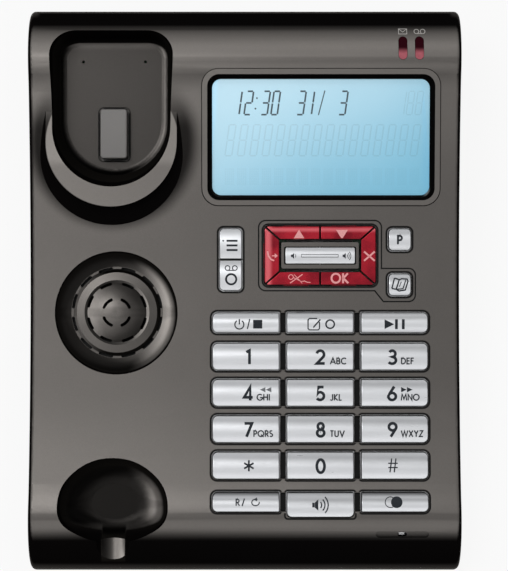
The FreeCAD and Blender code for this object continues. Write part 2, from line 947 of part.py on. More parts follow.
# Keys

def lowest_underside(v0, v1):
    steps = 12
    levels = [surface(v0 + (v1 - v0) * step / steps, cover_wall) for step in range(steps + 1)]
    return min(levels)


key_bottom = -board_level + mat_base + dome_height + key_travel + 0.1


def crowned(x0, x1, v0, v1, stand, crown):
    """A block whose top follows the panel and swells between its long edges."""
    front = Vector(x0, v0, surface(v0) + stand)
    back = Vector(x0, v1, surface(v1) + stand)
    middle = (front + back) * 0.5 + Vector(0, 0, crown)
    low = key_bottom - 20
    wire = Part.Wire([
        Part.makeLine(Vector(x0, v1, low), Vector(x0, v0, low)),
        Part.makeLine(Vector(x0, v0, low), front),
        arc_edge(front, middle, back),
        Part.makeLine(back, Vector(x0, v1, low))])
    return Part.Face(wire).extrude(Vector(x1 - x0, 0, 0))


def finish_key(cap, x0, x1, v0, v1, bare_side):
    """Give a key its flange, except on a side shared with its neighbour, and its stem."""
    flange_top = lowest_underside(v0 - key_flange, v1 + key_flange) - flange_gap
    front = v0 if bare_side == "front" else v0 - key_flange
    back = v1 if bare_side == "back" else v1 + key_flange
    flange = box(x0 - key_flange, x1 + key_flange, front, back,
                 flange_top - key_flange_thick, flange_top)
    middle_x = (x0 + x1) / 2
    middle_v = (v0 + v1) / 2
    half_x = (x1 - x0) / 2 * stem_share
    half_v = (v1 - v0) / 2 * stem_share
    stem = box(middle_x - half_x, middle_x + half_x, middle_v - half_v, middle_v + half_v,
               key_bottom, flange_top)
    cut_below = box(x0 - 5, x1 + 5, v0 - 5, v1 + 5, key_bottom - 40, flange_top - key_flange_thick)
    return joined([cap.cut(cut_below), flange, stem])


def pad_key(x0, x1, v0, v1, corner, front_corner=None, left_corner=None, bare_side=None):
    """A crowned key with rounded plan corners and top edges."""
    high = max(surface(v0), surface(v1)) + key_stand + key_crown + 2
    plan = plate(x0, x1, v0, v1, key_bottom - 10, high, corner, front_corner, left_corner)
    cap = crowned(x0 - 1, x1 + 1, v0, v1, key_stand, key_crown).common(plan)
    rim = min(surface(v0), surface(v1)) + key_stand - 0.2
    cap = cap.makeFillet(key_edge_round, top_edges(cap, rim))
    return finish_key(cap, x0, x1, v0, v1, bare_side)


def key_opening(x0, x1, v0, v1, corner, front_corner=None, left_corner=None, bare_side=None):
    front = None if front_corner is None else front_corner + key_gap
    left = None if left_corner is None else left_corner + key_gap
    low = v0 - key_gap
    high = v1 + key_gap
    if bare_side == "front":
        low = v0 - side_keys_split
        front = key_inner_corner
    if bare_side == "back":
        high = v1 + side_keys_split
    return plate(x0 - key_gap, x1 + key_gap, low, high, -board_level, 10,
                 corner + key_gap, front, left)


digit_rows = [first_digit_v - key_pitch_v * number for number in range(4)]
service_key_back = service_row_v + service_key_length / 2

key_rows = [
    (function_row_v, function_key_length, ("stop_key", "memo_key", "play_key")),
    (digit_rows[0], key_length, ("key_1", "key_2", "key_3")),
    (digit_rows[1], key_length, ("key_4", "key_5", "key_6")),
    (digit_rows[2], key_length, ("key_7", "key_8", "key_9")),
    (digit_rows[3], key_length, ("key_star", "key_0", "key_hash")),
    (service_row_v, service_key_length, ("recall_key", "handsfree_key", "mute_key")),
]


def pad_key_plans():
    """Name, plan limits and corner radii of each key of the three columns."""
    plans = []
    for row_v, length, names in key_rows:
        for column, name in enumerate(names):
            middle = keypad_x + (column - 1) * key_pitch_x
            x0 = middle - key_width / 2
            x1 = middle + key_width / 2
            v0 = row_v - length / 2
            v1 = row_v + length / 2
            if name == "handsfree_key":
                v0 = v1 - handsfree_key_length
                plans.append((name, (x0, x1, v0, v1, key_inner_corner, key_corner, None)))
            elif column == 0:
                plans.append((name, (x0, x1, v0, v1, key_inner_corner, None, key_corner)))
            elif column == 1:
                plans.append((name, (x0, x1, v0, v1, key_inner_corner, None, None)))
            else:
                plans.append((name, (x0, x1, v0, v1, key_corner, None, key_inner_corner)))
    return plans


def small_key_plans():
    """Name, plan limits and corner radii of the keys beside the ring."""
    left = side_keys_x - side_key_width / 2
    right = side_keys_x + side_key_width / 2
    low = side_keys_v - side_keys_length / 2
    high = side_keys_v + side_keys_length / 2
    half_split = side_keys_split / 2
    key_left = right_key_x - right_key_width / 2
    key_right = right_key_x + right_key_width / 2
    half = right_key_length / 2
    return [
        ("menu_key", (left, right, side_keys_v + half_split, high,
                      small_key_corner, key_inner_corner, None, "front")),
        ("tape_key", (left, right, low, side_keys_v - half_split,
                      key_inner_corner, small_key_corner, None, "back")),
        ("program_key", (key_left, key_right, program_key_v - half, program_key_v + half,
                         small_key_corner, None, None)),
        ("phonebook_key", (key_left, key_right, phonebook_key_v - half, phonebook_key_v + half,
                           small_key_corner, None, None)),
    ]


# Navigation ring

nav_left = keypad_x - nav_width / 2
nav_right = keypad_x + nav_width / 2
nav_front = nav_v - nav_length / 2
nav_back = nav_v + nav_length / 2
inner_left = keypad_x - nav_inner_width / 2
inner_right = keypad_x + nav_inner_width / 2
inner_front = nav_v - nav_inner_length / 2
inner_back = nav_v + nav_inner_length / 2


def ring_plans(past=0.0):
    """Name and plan corners of each ring key, which can run on past the ring's edge.

    The first and third sides of each are those it shares with its neighbours.
    """
    left = nav_left - ring_key_width * past
    right = nav_right + ring_key_width * past
    front = nav_front - ring_key_length * past
    back = nav_back + ring_key_length * past
    outer = {"fl": (left, front), "fr": (right, front),
             "bl": (left, back), "br": (right, back),
             "fm": (keypad_x, front), "bm": (keypad_x, back)}
    inner = {"fl": (inner_left, inner_front), "fr": (inner_right, inner_front),
             "bl": (inner_left, inner_back), "br": (inner_right, inner_back),
             "fm": (keypad_x, inner_front), "bm": (keypad_x, inner_back)}
    return [
        ("answer_key", (outer["fl"], inner["fl"], inner["bl"], outer["bl"])),
        ("cancel_key", (inner["fr"], outer["fr"], outer["br"], inner["br"])),
        ("up_key", (inner["bm"], outer["bm"], outer["bl"], inner["bl"])),
        ("down_key", (inner["br"], outer["br"], outer["bm"], inner["bm"])),
        ("erase_key", (outer["fm"], inner["fm"], inner["fl"], outer["fl"])),
        ("ok_key", (outer["fr"], inner["fr"], inner["fm"], outer["fm"])),
    ]


def inset_corners(corners, distances):
    """Corners of a polygon, listed anticlockwise, with its sides drawn in by distances in turn."""
    sides = []
    for number, (x, v) in enumerate(corners):
        distance = distances[number % len(distances)]
        next_x, next_v = corners[(number + 1) % len(corners)]
        length = math.hypot(next_x - x, next_v - v)
        along = ((next_x - x) / length, (next_v - v) / length)
        sides.append(((x - along[1] * distance, v + along[0] * distance), along))
    moved = []
    for number, (point, along) in enumerate(sides):
        before, before_along = sides[number - 1]
        cross = before_along[0] * along[1] - before_along[1] * along[0]
        gap_x = point[0] - before[0]
        gap_v = point[1] - before[1]
        reach = (gap_x * along[1] - gap_v * along[0]) / cross
        moved.append((before[0] + before_along[0] * reach, before[1] + before_along[1] * reach))
    return moved


def make_ring_key(name):
    """The part of a ring key that shows, cut from a block that runs on past the ring."""
    corners = dict(ring_plans(0.2))[name]
    gaps = (nav_gap / 2, 0)
    top = surface(nav_v) + nav_stand
    flange_top = lowest_underside(nav_front, nav_back) - flange_gap
    bottom = flange_top - key_flange_thick
    outline = polygon_wire([Vector(x, v, bottom) for x, v in inset_corners(corners, gaps)])
    frame = plate(nav_left, nav_right, nav_front, nav_back, bottom - 1, top + 1, nav_corner)
    cap = extrude(outline, top - bottom).common(frame).Solids[0]
    cap = cap.makeFillet(key_edge_round, top_edges(cap, top - 0.01))
    return cap, flange_top


def ring_key(name, corners):
    """A ring key with a flange outside the ring and a stem under it."""
    upper, low = make_ring_key(name)
    middle_x = sum(x for x, v in corners) / 4
    middle_v = sum(v for x, v in corners) / 4
    reach = key_flange + nav_gap
    flanges = {
        "answer_key": (nav_left - reach, nav_left + 2, nav_v - 5, nav_v + 5),
        "cancel_key": (nav_right - 2, nav_right + reach, nav_v - 5, nav_v + 5),
        "up_key": (middle_x - 5, middle_x + 5, nav_back - 2, nav_back + reach),
        "down_key": (middle_x - 5, middle_x + 5, nav_back - 2, nav_back + reach),
        "erase_key": (middle_x - 5, middle_x + 5, nav_front - reach, nav_front + 2),
        "ok_key": (middle_x - 5, middle_x + 5, nav_front - reach, nav_front + 2),
    }
    flange = box(*flanges[name], low - key_flange_thick, low)
    half = 1.6
    stem = box(middle_x - half, middle_x + half, middle_v - half, middle_v + half,
               key_bottom, low)
    return joined([upper, flange, stem])


def nav_opening():
    return plate(nav_left - key_gap, nav_right + key_gap, nav_front - key_gap,
                 nav_back + key_gap, -board_level, 10, nav_corner + key_gap)


def nav_area(grow):
    """The plan inside the thin line round the ring and the phonebook key."""
    margin = 2.3
    low = -board_level
    main = plate(nav_left - margin - grow, nav_right + margin + grow,
                 nav_front - margin - grow, nav_back + margin + grow, low, 10, 2.8 + grow)
    bump_right = right_key_x + right_key_width / 2 + 1.9 + grow
    bump_front = phonebook_key_v - right_key_length / 2 - 2.4 - grow
    bump_back = phonebook_key_v + right_key_length / 2 + 2.2 + grow
    bump_left = nav_right + margin
    bump = plate(bump_left, bump_right, bump_front, bump_back, low, 10, 2.6, None, 0.6)
    wedge = polygon_wire([
        Vector(bump_left - 2.7 - grow, nav_front - margin + 0.6, low),
        Vector(bump_left - 2.7 - grow * 0.4, nav_front - margin - grow, low),
        Vector(bump_left + 0.8, bump_front, low),
        Vector(bump_left + 3.0, bump_front, low),
        Vector(bump_left + 3.0, nav_front + 2, low)])
    return joined([main, bump, extrude(wedge, 10 - low)])


def nav_line():
    half = nav_line_width / 2
    return sunk(nav_area(half).cut(nav_area(-half)), nav_line_depth)


island_top = surface(nav_v) + island_stand
rocker_axis_level = surface(nav_v) - rocker_axis_depth
rocker_half_length = rocker_length / 2
rocker_half_width = rocker_width / 2


def make_volume_key_frame():
    """The dark island that carries the volume rocker on its legs."""
    low = surface(nav_v) - island_depth
    x0 = keypad_x - island_width / 2
    x1 = keypad_x + island_width / 2
    v0 = nav_v - island_length / 2
    v1 = nav_v + island_length / 2
    block = plate(x0, x1, v0, v1, low, island_top, 0.8)
    block = block.makeFillet(0.3, top_edges(block, island_top - 0.01))
    well = plate(keypad_x - rocker_half_length - rocker_gap,
                 keypad_x + rocker_half_length + rocker_gap,
                 nav_v - rocker_half_width - rocker_side_gap,
                 nav_v + rocker_half_width + rocker_side_gap,
                 low - 1, island_top + 1, 0.7)
    bore = Part.makeCylinder(rocker_pin_radius + rocker_pin_gap,
                             rocker_width + 2 * rocker_pin_length + 0.8,
                             Vector(keypad_x, nav_v - rocker_half_width - rocker_pin_length - 0.4,
                                    rocker_axis_level), Vector(0, 1, 0))
    legs = []
    for x in (x0 + island_leg / 2, x1 - island_leg / 2):
        for v in (v0 + island_leg / 2, v1 - island_leg / 2):
            half = island_leg / 2 - 0.1
            legs.append(box(x - half, x + half, v - half, v + half, -board_level, low + 0.5))
    return joined([block] + legs).cut(well).cut(bore)


def make_volume_rocker():
    level = surface(nav_v)
    x0 = keypad_x - rocker_half_length
    x1 = keypad_x + rocker_half_length
    v0 = nav_v - rocker_half_width
    v1 = nav_v + rocker_half_width
    high = level + rocker_stand + 3
    plan = plate(x0, x1, v0, v1, level - rocker_body_depth, high, 0.6)
    cap = crowned(x0 - 1, x1 + 1, v0, v1, rocker_stand - 0.6, 0.6).common(plan)
    cap = cap.makeFillet(0.3, top_edges(cap, level + rocker_stand - 0.8))
    pin = Part.makeCylinder(rocker_pin_radius, rocker_width + 2 * rocker_pin_length,
                            Vector(keypad_x, v0 - rocker_pin_length, rocker_axis_level),
                            Vector(0, 1, 0))
    return joined([cap, pin])


# Indicator lenses, light sources and their board

led_board_top = surface(lens_v) - cover_wall - lens_depth - led_height


def lens_plan(x, grow, z0, z1):
    corner = lens_width / 2 + grow - 0.01
    return plate(x - lens_width / 2 - grow, x + lens_width / 2 + grow,
                 lens_v - lens_length / 2 - grow, lens_v + lens_length / 2 + grow,
                 z0, z1, corner)


def make_lens(x):
    low = surface(lens_v) - cover_wall - lens_depth + 0.1
    rod_of_light = lens_plan(x, 0, low, 12)
    return rod_of_light.common(body_prism(-lens_proud, half_width_ends + 10))


def make_lenses():
    return Part.makeCompound([make_lens(message_lens_x), make_lens(power_lens_x)])


def make_leds():
    parts = []
    for x in (message_lens_x, power_lens_x):
        half = led_size / 2
        parts.append(box(x - half, x + half, lens_v - half, lens_v + half,
                         led_board_top, led_board_top + led_height))
    return Part.makeCompound(parts)


led_post_places = ((message_lens_x - 4.6, lens_v), (power_lens_x + 4.6, lens_v))


def make_led_board():
    x0 = led_post_places[0][0] - 2.6
    x1 = led_post_places[1][0] + 2.6
    slab = box(x0, x1, lens_v - 5.5, lens_v + 5.5, led_board_top - led_board_thick, led_board_top)
    for x, v in led_post_places:
        slab = slab.cut(rod(x, v, led_board_top - 5, led_board_top + 1, 1.0))
    return slab


# Main board, mat and their screws

post_places = [(x, v) for x in (board_post_left, board_post_right) for v in board_post_rows]
board_low = -board_level - board_thick


def boss_shaft(x, v, radius, z0, z1):
    """An upright rod in the desk frame at a place given on the panel."""
    y = panel_y + v * cosd(panel_tilt)
    return rod(x, y, z0, z1, radius)


def board_notch():
    """Room beside the board for the cover's boss."""
    x, v = boss_places[1]
    return in_panel(boss_shaft(x, v, boss_radius + 0.7, 0, front_height * 2))


def speaker_room():
    """Room beside the board for the speaker and its screws."""
    return rod(dish_x, dish_v, board_low - 1, -board_level + 1,
               speaker_screw_ring + speaker_screw_head + speaker_room_gap)


def make_main_board():
    slab = plate(board_left, board_right, board_front, board_back, board_low, -board_level, 1.5)
    for x, v in post_places:
        slab = slab.cut(rod(x, v, board_low - 1, -board_level + 1, board_screw_radius + 0.35))
    return slab.cut(board_notch()).cut(speaker_room())


def board_chips():
    """The processor, the message memory and the capacitors under the board."""
    low = board_low
    parts = [
        box(20, 34, 60, 74, low - 1.6, low),
        box(42, 54, 62, 70, low - 1.2, low),
        box(0, 8, 90, 100, low - 3.0, low),
    ]
    for v in (30.0, 40.0, 50.0):
        parts.append(rod(62, v, low - 9, low, 3.1))
    return Part.makeCompound(parts)


def make_display_cable():
    """The flat cable from the underside of the display's tray to the main board."""
    low = backlight_top - backlight_thick - holder_wall
    tray_front = window_inset - holder_wall - bezel_gap - 0.5
    along_tray = [on_bezel(Part.Vertex(0, s, low)).Point for s in (tray_front + cable_lap, tray_front)]
    on_board = [Vector(0, board_back + 1.0, board_low), Vector(0, board_back - cable_lap, board_low)]
    upper = along_tray + on_board
    down = Vector(0, 0, -cable_thick)
    wire = polygon_wire(upper + [point + down for point in reversed(upper)])
    strip = Part.Face(wire).extrude(Vector(cable_width, 0, 0))
    strip.translate(Vector(keypad_x - cable_width / 2, 0, 0))
    return strip


def key_centres():
    centres = []
    for name, plan in pad_key_plans() + small_key_plans():
        centres.append(((plan[0] + plan[1]) / 2, (plan[2] + plan[3]) / 2))
    for name, corners in ring_plans():
        centres.append((sum(x for x, v in corners) / 4, sum(v for x, v in corners) / 4))
    for side in (-1, 1):
        centres.append((keypad_x + side * rocker_half_length * 0.62, nav_v))
    return centres


def make_keypad_mat():
    low = -board_level
    high = low + mat_base
    sheet = plate(board_post_left + board_post_radius + 0.4, board_post_right - board_post_radius - 0.4,
                  board_front + 1, board_back - 1, low, high, 2)
    domes = []
    for x, v in key_centres():
        foot = min(dome_radius, 2.3) if abs(v - nav_v) < 8 else dome_radius
        domes.append(Part.makeCone(foot, foot * 0.62, dome_height, Vector(x, v, high),
                                   Vector(0, 0, 1)))
    mat = joined([sheet] + domes)
    for x in (keypad_x - island_width / 2, keypad_x + island_width / 2):
        for v in (nav_v - island_length / 2, nav_v + island_length / 2):
            mat = mat.cut(box(x - 2.3, x + 2.3, v - 2.3, v + 2.3, low - 1, high + 0.001))
    return mat.cut(board_notch())


def screw(x, y, tip, under_head, radius, head_radius, head_height):
    """A pan-head screw that points up; its head hangs under under_head."""
    shank = rod(x, y, under_head - head_height / 2, tip, radius)
    head = rod(x, y, under_head - head_height, under_head, head_radius)
    cross = joined([
        box(x - head_radius * 0.6, x + head_radius * 0.6, y - 0.25, y + 0.25,
            under_head - head_height - 1, under_head - head_height * 0.5),
        box(x - 0.25, x + 0.25, y - head_radius * 0.6, y + head_radius * 0.6,
            under_head - head_height - 1, under_head - head_height * 0.5)])
    return joined([shank, head]).cut(cross)


def make_board_screws():
    """Screws of the main board and the indicator board."""
    screws = []
    for x, v in post_places:
        screws.append(screw(x, v, -board_level + board_screw_reach, board_low,
                            board_screw_radius, board_screw_head, board_screw_head_height))
    for x, v in led_post_places:
        under = led_board_top - led_board_thick
        screws.append(screw(x, v, led_board_top + 4, under, board_screw_radius,
                            board_screw_head, board_screw_head_height))
    return screws


# Speaker

speaker_top = dish_seat
cup_low = speaker_top - speaker_flange - speaker_cup_depth


def make_speaker_frame():
    """The steel basket: a flange, a sloping cup and a flat back."""
    rim_inner = speaker_radius - speaker_rim
    flange_low = speaker_top - speaker_flange
    back = magnet_radius + 1.5
    wall = speaker_cup_wall
    points = [(rim_inner, speaker_top), (speaker_radius, speaker_top),
              (speaker_radius, flange_low), (rim_inner + wall, flange_low),
              (back + wall, cup_low), (coil_radius + 1.0, cup_low),
              (coil_radius + 1.0, cup_low + wall), (back, cup_low + wall),
              (rim_inner, flange_low)]
    return revolved(points, dish_x, dish_v)


def make_speaker_cone():
    """The paper cone with its rolled edge glued to the flange's inner rim."""
    rim_inner = speaker_radius - speaker_rim
    level = speaker_top - speaker_flange
    deep = cup_low + speaker_cup_wall + cone_gap + 0.4
    points = [(0, deep + 1.6), (coil_radius * 0.7, deep + 1.2), (coil_radius, deep + cone_wall),
              (rim_inner - 3.0, level), (rim_inner - 1.6, level + 1.0), (rim_inner, level + 0.8),
              (rim_inner, level + 0.8 - cone_wall), (rim_inner - 1.6, level + 1.0 - cone_wall),
              (rim_inner - 2.8, level - cone_wall), (coil_radius, deep), (0, deep + 1.0)]
    return revolved(points, dish_x, dish_v)


def make_speaker_magnet():
    low = cup_low - magnet_height
    ring = rod(dish_x, dish_v, low, cup_low, magnet_radius)
    gap = rod(dish_x, dish_v, low + 1.5, cup_low + 1, coil_radius + 0.3)
    pole = rod(dish_x, dish_v, low + 1.5, cup_low + 0.2, coil_radius - 0.7)
    return ring.cut(gap).fuse(pole).removeSplitter()


def speaker_screw_places():
    places = []
    for number in range(speaker_screw_count):
        angle = 90 + number * 360.0 / speaker_screw_count
        places.append((dish_x + speaker_screw_ring * cosd(angle),
                       dish_v + speaker_screw_ring * sind(angle)))
    return places


def make_speaker_screws():
    screws = []
    under = speaker_top - speaker_flange
    for x, v in speaker_screw_places():
        screws.append(screw(x, v, speaker_top + 3.0, under, board_screw_radius,
                            speaker_screw_head, board_screw_head_height))
    return screws


# Hook button, spring and switch

ear_floor = -ear_depth
tub_under = ear_floor - tub_wall
hook_flange_top = tub_under - 0.2
hook_flange_low = hook_flange_top - hook_flange_thick
hook_board_top = tub_under - hook_board_drop


def hook_plan(grow, z0, z1):
    return plate(ear_x - hook_width / 2 - grow, ear_x + hook_width / 2 + grow,
                 hook_v - hook_length / 2 - grow, hook_v + hook_length / 2 + grow,
                 z0, z1, hook_corner + max(grow, 0) * 0.6)


def make_hook_button():
    top = ear_floor + hook_stand
    cap = hook_plan(0, hook_flange_low, top)
    cap = cap.makeFillet(0.6, top_edges(cap, top - 0.01))
    flange = hook_plan(hook_flange, hook_flange_low, hook_flange_top)
    post = rod(ear_x, hook_v + hook_post_back, hook_flange_low - hook_post_length,
               hook_flange_low, hook_post_radius)
    return joined([cap, flange, post])


def make_hook_spring():
    """A compression spring from the hook board to the button's flange."""
    low = hook_board_top + spring_wire + 0.02
    high = hook_flange_low - spring_wire - 0.02
    rise = (high - low) / spring_turns
    helix = Part.makeHelix(rise, high - low, spring_radius)
    start = Vector(spring_radius, 0, 0)
    section = Part.Wire(Part.makeCircle(spring_wire, start, Vector(0, 1, 0)))
    coil = Part.Wire(helix).makePipeShell([section], True, True)
    coil.translate(Vector(ear_x, hook_v + hook_post_back, low))
    return coil


hook_post_reach = hook_length / 2 + hook_flange + 2.7
hook_board_posts = ((ear_x - 6.6, hook_v - hook_post_reach), (ear_x + 6.6, hook_v + hook_post_reach))


def make_hook_board():
    slab = box(ear_x - hook_board_half_width, ear_x + hook_board_half_width,
               hook_v - hook_board_half_length, hook_v + hook_board_half_length,
               hook_board_top - hook_board_thick, hook_board_top)
    for x, v in hook_board_posts:
        slab = slab.cut(rod(x, v, hook_board_top - 5, hook_board_top + 1, 1.2))
    slab = slab.cut(rod(ear_x, hook_v + hook_post_back, hook_board_top - 5, hook_board_top + 1,
                        hook_post_radius + 0.4))
    return slab


def make_hook_switch():
    """A small switch whose lever lies just under the pressed flange."""
    top = hook_flange_low - hook_travel - 0.3
    half = hook_switch_width / 2
    v0 = hook_v - 8.5
    body = box(ear_x - half, ear_x + half, v0, v0 + hook_switch_length, hook_board_top, top - 1.4)
    lever = box(ear_x - half * 0.6, ear_x + half * 0.6, v0, v0 + hook_switch_length + 1.5,
                top - 0.4, top)
    foot = box(ear_x - half * 0.6, ear_x + half * 0.6, v0, v0 + 0.6, top - 1.5, top)
    plunger = box(ear_x - 0.6, ear_x + 0.6, v0 + 4.0, v0 + 5.2, top - 1.5, top - 0.2)
    return joined([body, lever, foot, plunger])


def make_hook_screws():
    screws = []
    for x, v in hook_board_posts:
        screws.append(screw(x, v, hook_board_top + 4, hook_board_top - hook_board_thick,
                            board_screw_radius, board_screw_head, board_screw_head_height))
    return screws


# Microphone

boot_radius = mic_radius + boot_wall
boot_top = surface(mic_slot_v, cover_wall) - 2.1
boot_low = boot_top - boot_depth


def make_microphone():
    low = boot_top - 0.8 - mic_height
    return rod(mic_slot_x, mic_slot_v, low, boot_top - 0.8, mic_radius)


def make_microphone_boot():
    boot = rod(mic_slot_x, mic_slot_v, boot_low, boot_top, boot_radius)
    hollow = rod(mic_slot_x, mic_slot_v, boot_low - 1, boot_top - 0.8, mic_radius)
    hole = rod(mic_slot_x, mic_slot_v, boot_top - 2, boot_top + 1, 1.2)
    return boot.cut(hollow).cut(hole)


def mic_seat():
    """The moulded sleeve that the rubber boot is pushed into."""
    high = surface(mic_slot_v) - 0.5
    outer = rod(mic_slot_x, mic_slot_v, boot_low + 0.5, high, boot_radius + boot_gap + boot_seat_wall)
    inner = rod(mic_slot_x, mic_slot_v, boot_low - 1, boot_top + 0.02, boot_radius + boot_gap)
    return outer.cut(inner)


def mic_slot():
    half_x = mic_slot_length / 2
    half_v = mic_slot_width / 2
    plan = plate(mic_slot_x - half_x, mic_slot_x + half_x, mic_slot_v - half_v,
                 mic_slot_v + half_v, -12, 10, half_v - 0.01)
    hole = plate(mic_slot_x - mic_hole_length / 2, mic_slot_x + mic_hole_length / 2,
                 mic_slot_v - mic_hole_width / 2, mic_slot_v + mic_hole_width / 2,
                 boot_top - 0.01, 10, mic_hole_width / 2 - 0.01)
    return [sunk(plan, mic_slot_depth), hole]


# Sockets

def opening_in_wall(width, height, gap, inside, outside, level):
    """A hole for a socket in the back wall, drawn round x = 0."""
    half = width / 2 + gap
    return box(-half, half, inside, outside, level - gap, level + height + gap)


line_jack_low = rear_board_level
jack_face = body_back - jack_recess


def socket_hollow(width, height, depth, key_width, key_height, middle_z, face_y):
    """A modular socket's cavity: the plug space with a groove for its latch."""
    main = box(-width / 2, width / 2, face_y - depth, face_y + 1,
               middle_z - height / 2, middle_z + height / 2)
    latch = box(-key_width / 2, key_width / 2, face_y - depth, face_y + 1,
                middle_z - height / 2 - key_height, middle_z)
    return main.fuse(latch).removeSplitter()


line_socket_middle = line_jack_low + line_jack_height / 2 + 0.4


def make_line_jack():
    half = line_jack_width / 2
    body = box(-half, half, jack_face - line_jack_length, jack_face,
               line_jack_low, line_jack_low + line_jack_height)
    hollow = socket_hollow(line_socket_width, line_socket_height, line_socket_depth,
                           socket_key_width + 2, socket_key_height, line_socket_middle, jack_face)
    jack = body.cut(hollow)
    contacts = []
    for number in range(4):
        x = (number - 1.5) * 1.02
        top = line_socket_middle + line_socket_height / 2
        contacts.append(box(x - 0.22, x + 0.22, jack_face - line_socket_depth,
                            jack_face - 3.0, top - 1.2, top + 0.2))
    jack = joined([jack] + contacts)
    jack.translate(Vector(line_jack_x, 0, 0))
    return jack


def make_power_jack():
    half = power_jack_width / 2
    middle_z = rear_board_level + power_jack_height / 2
    body = box(-half, half, jack_face - power_jack_length, jack_face,
               rear_board_level, rear_board_level + power_jack_height)
    hole = Part.makeCylinder(power_hole_radius, power_hole_depth + 1,
                             Vector(0, jack_face - power_hole_depth, middle_z), Vector(0, 1, 0))
    pin = Part.makeCylinder(power_pin_radius, power_hole_depth - 1.0,
                            Vector(0, jack_face - power_hole_depth - 0.5, middle_z),
                            Vector(0, 1, 0))
    jack = joined([body.cut(hole), pin])
    jack.translate(Vector(power_jack_x, 0, 0))
    return jack


rear_post_places = ((rear_board_left + 4.0, 4.5), (rear_board_right - 4.0, 4.5))
rear_board_back = body_back - cover_wall - seam_gap - seam_lip_wall - 0.4
rear_board_front = rear_board_back - rear_board_depth


def make_rear_board():
    """The board that carries the line and power sockets."""
    slab = box(rear_board_left, rear_board_right, rear_board_front, rear_board_back,
               rear_board_level - rear_board_thick, rear_board_level)
    for x, inset in rear_post_places:
        slab = slab.cut(rod(x, rear_board_front + inset, 0, rear_board_level + 1,
                            board_screw_radius + 0.35))
    return slab


def down_screw(x, y, tip, under_head):
    """A pan-head screw that points down; its head stands on under_head."""
    shank = rod(x, y, tip, under_head + 0.2, board_screw_radius)
    head = rod(x, y, under_head, under_head + board_screw_head_height, board_screw_head)
    cross = box(x - board_screw_head * 0.6, x + board_screw_head * 0.6, y - 0.25, y + 0.25,
                under_head + board_screw_head_height * 0.5,
                under_head + board_screw_head_height + 1)
    return joined([shank, head]).cut(cross)


def make_rear_screws():
    screws = []
    for x, inset in rear_post_places:
        screws.append(down_screw(x, rear_board_front + inset,
                                 rear_board_level - rear_board_thick - 2.6, rear_board_level))
    return screws


def make_inner_screws():
    """All the small screws that hold the boards and the speaker."""
    slanted = make_board_screws() + make_speaker_screws() + make_hook_screws()
    return Part.makeCompound([on_desk(one) for one in slanted] + make_rear_screws())


handset_jack_y = panel_y + handset_jack_v * cosd(panel_tilt)
handset_jack_low = foot_height + floor_wall


handset_jack_face = -side_wall(handset_jack_y) + jack_recess


def make_handset_jack():
    """The four-way socket for the handset's cord, facing left."""
    half = handset_jack_width / 2
    body = box(-half, half, -handset_jack_length, 0, handset_jack_low,
               handset_jack_low + handset_jack_height)
    middle = handset_jack_low + handset_jack_height / 2 + 0.4
    hollow = socket_hollow(handset_socket_width, handset_socket_height, handset_socket_depth,
                           socket_key_width, socket_key_height, middle, 0)
    jack = body.cut(hollow)
    contacts = []
    for number in range(4):
        x = (number - 1.5) * 1.02
        top = middle + handset_socket_height / 2
        contacts.append(box(x - 0.22, x + 0.22, -handset_socket_depth, -3.0, top - 1.2, top + 0.2))
    jack = joined([jack] + contacts)
    jack.rotate(Vector(0, 0, 0), Vector(0, 0, 1), 90)
    jack.translate(Vector(handset_jack_face, handset_jack_y, 0))
    return jack


def wall_openings():
    """Holes in the covers for the three sockets."""
    inside = body_back - 12
    outside = body_back + 2
    line = opening_in_wall(line_jack_width, line_jack_height, jack_gap, inside, outside,
                           line_jack_low)
    line.translate(Vector(line_jack_x, 0, 0))
    power = opening_in_wall(power_jack_width, power_jack_height, jack_gap, inside, outside,
                            rear_board_level)
    power.translate(Vector(power_jack_x, 0, 0))
    half = handset_jack_width / 2 + jack_gap
    handset = box(-half_width_ends - 5, handset_jack_face + 8, handset_jack_y - half,
                  handset_jack_y + half, handset_jack_low,
                  handset_jack_low + handset_jack_height + jack_gap)
    return [line, power, handset]


# Covers

def boss_points():
    return [(x, panel_y + v * cosd(panel_tilt)) for x, v in boss_places]


boss_low = foot_height + floor_wall


def top_cover_keeps():
    """What the cavity leaves standing inside the top cover, in the desk frame."""
    keeps = [on_desk(ear_space(tub_wall, tub_wall, ear_floor_round + tub_wall)),
             on_desk(mouth_space(tub_wall)),
             notch_space(tub_wall),
             on_desk(dish_block()),
             on_desk(mic_seat())]
    for x, v in post_places:
        keeps.append(on_desk(rod(x, v, -board_level, surface(v) - 0.5, board_post_radius)))
    for x, v in led_post_places:
        keeps.append(on_desk(rod(x, v, led_board_top, surface(v) - 0.5, 1.9)))
    for x, v in hook_board_posts:
        keeps.append(on_desk(rod(x, v, hook_board_top, ear_floor - 0.5, 2.0)))
    for x, v in speaker_screw_places():
        keeps.append(on_desk(rod(x, v, dish_seat, dish_rim - 1, 2.4)))
    for x, y in boss_points():
        keeps.append(rod(x, y, boss_low, front_height * 3, boss_radius))
    return keeps


def key_cutters():
    """Openings and shallow row channels for every key."""
    cutters = []
    plans = pad_key_plans() + small_key_plans()
    for name, plan in plans:
        cutters.append(key_opening(*plan))
    for row_v, length, names in key_rows:
        left = keypad_x - key_pitch_x - key_width / 2
        right = keypad_x + key_pitch_x + key_width / 2
        channel = box(left + 4, right - 4, row_v - length / 2, row_v + length / 2, -board_level, 10)
        cutters.append(sunk(channel, row_recess))
    cutters.append(nav_opening())
    return cutters


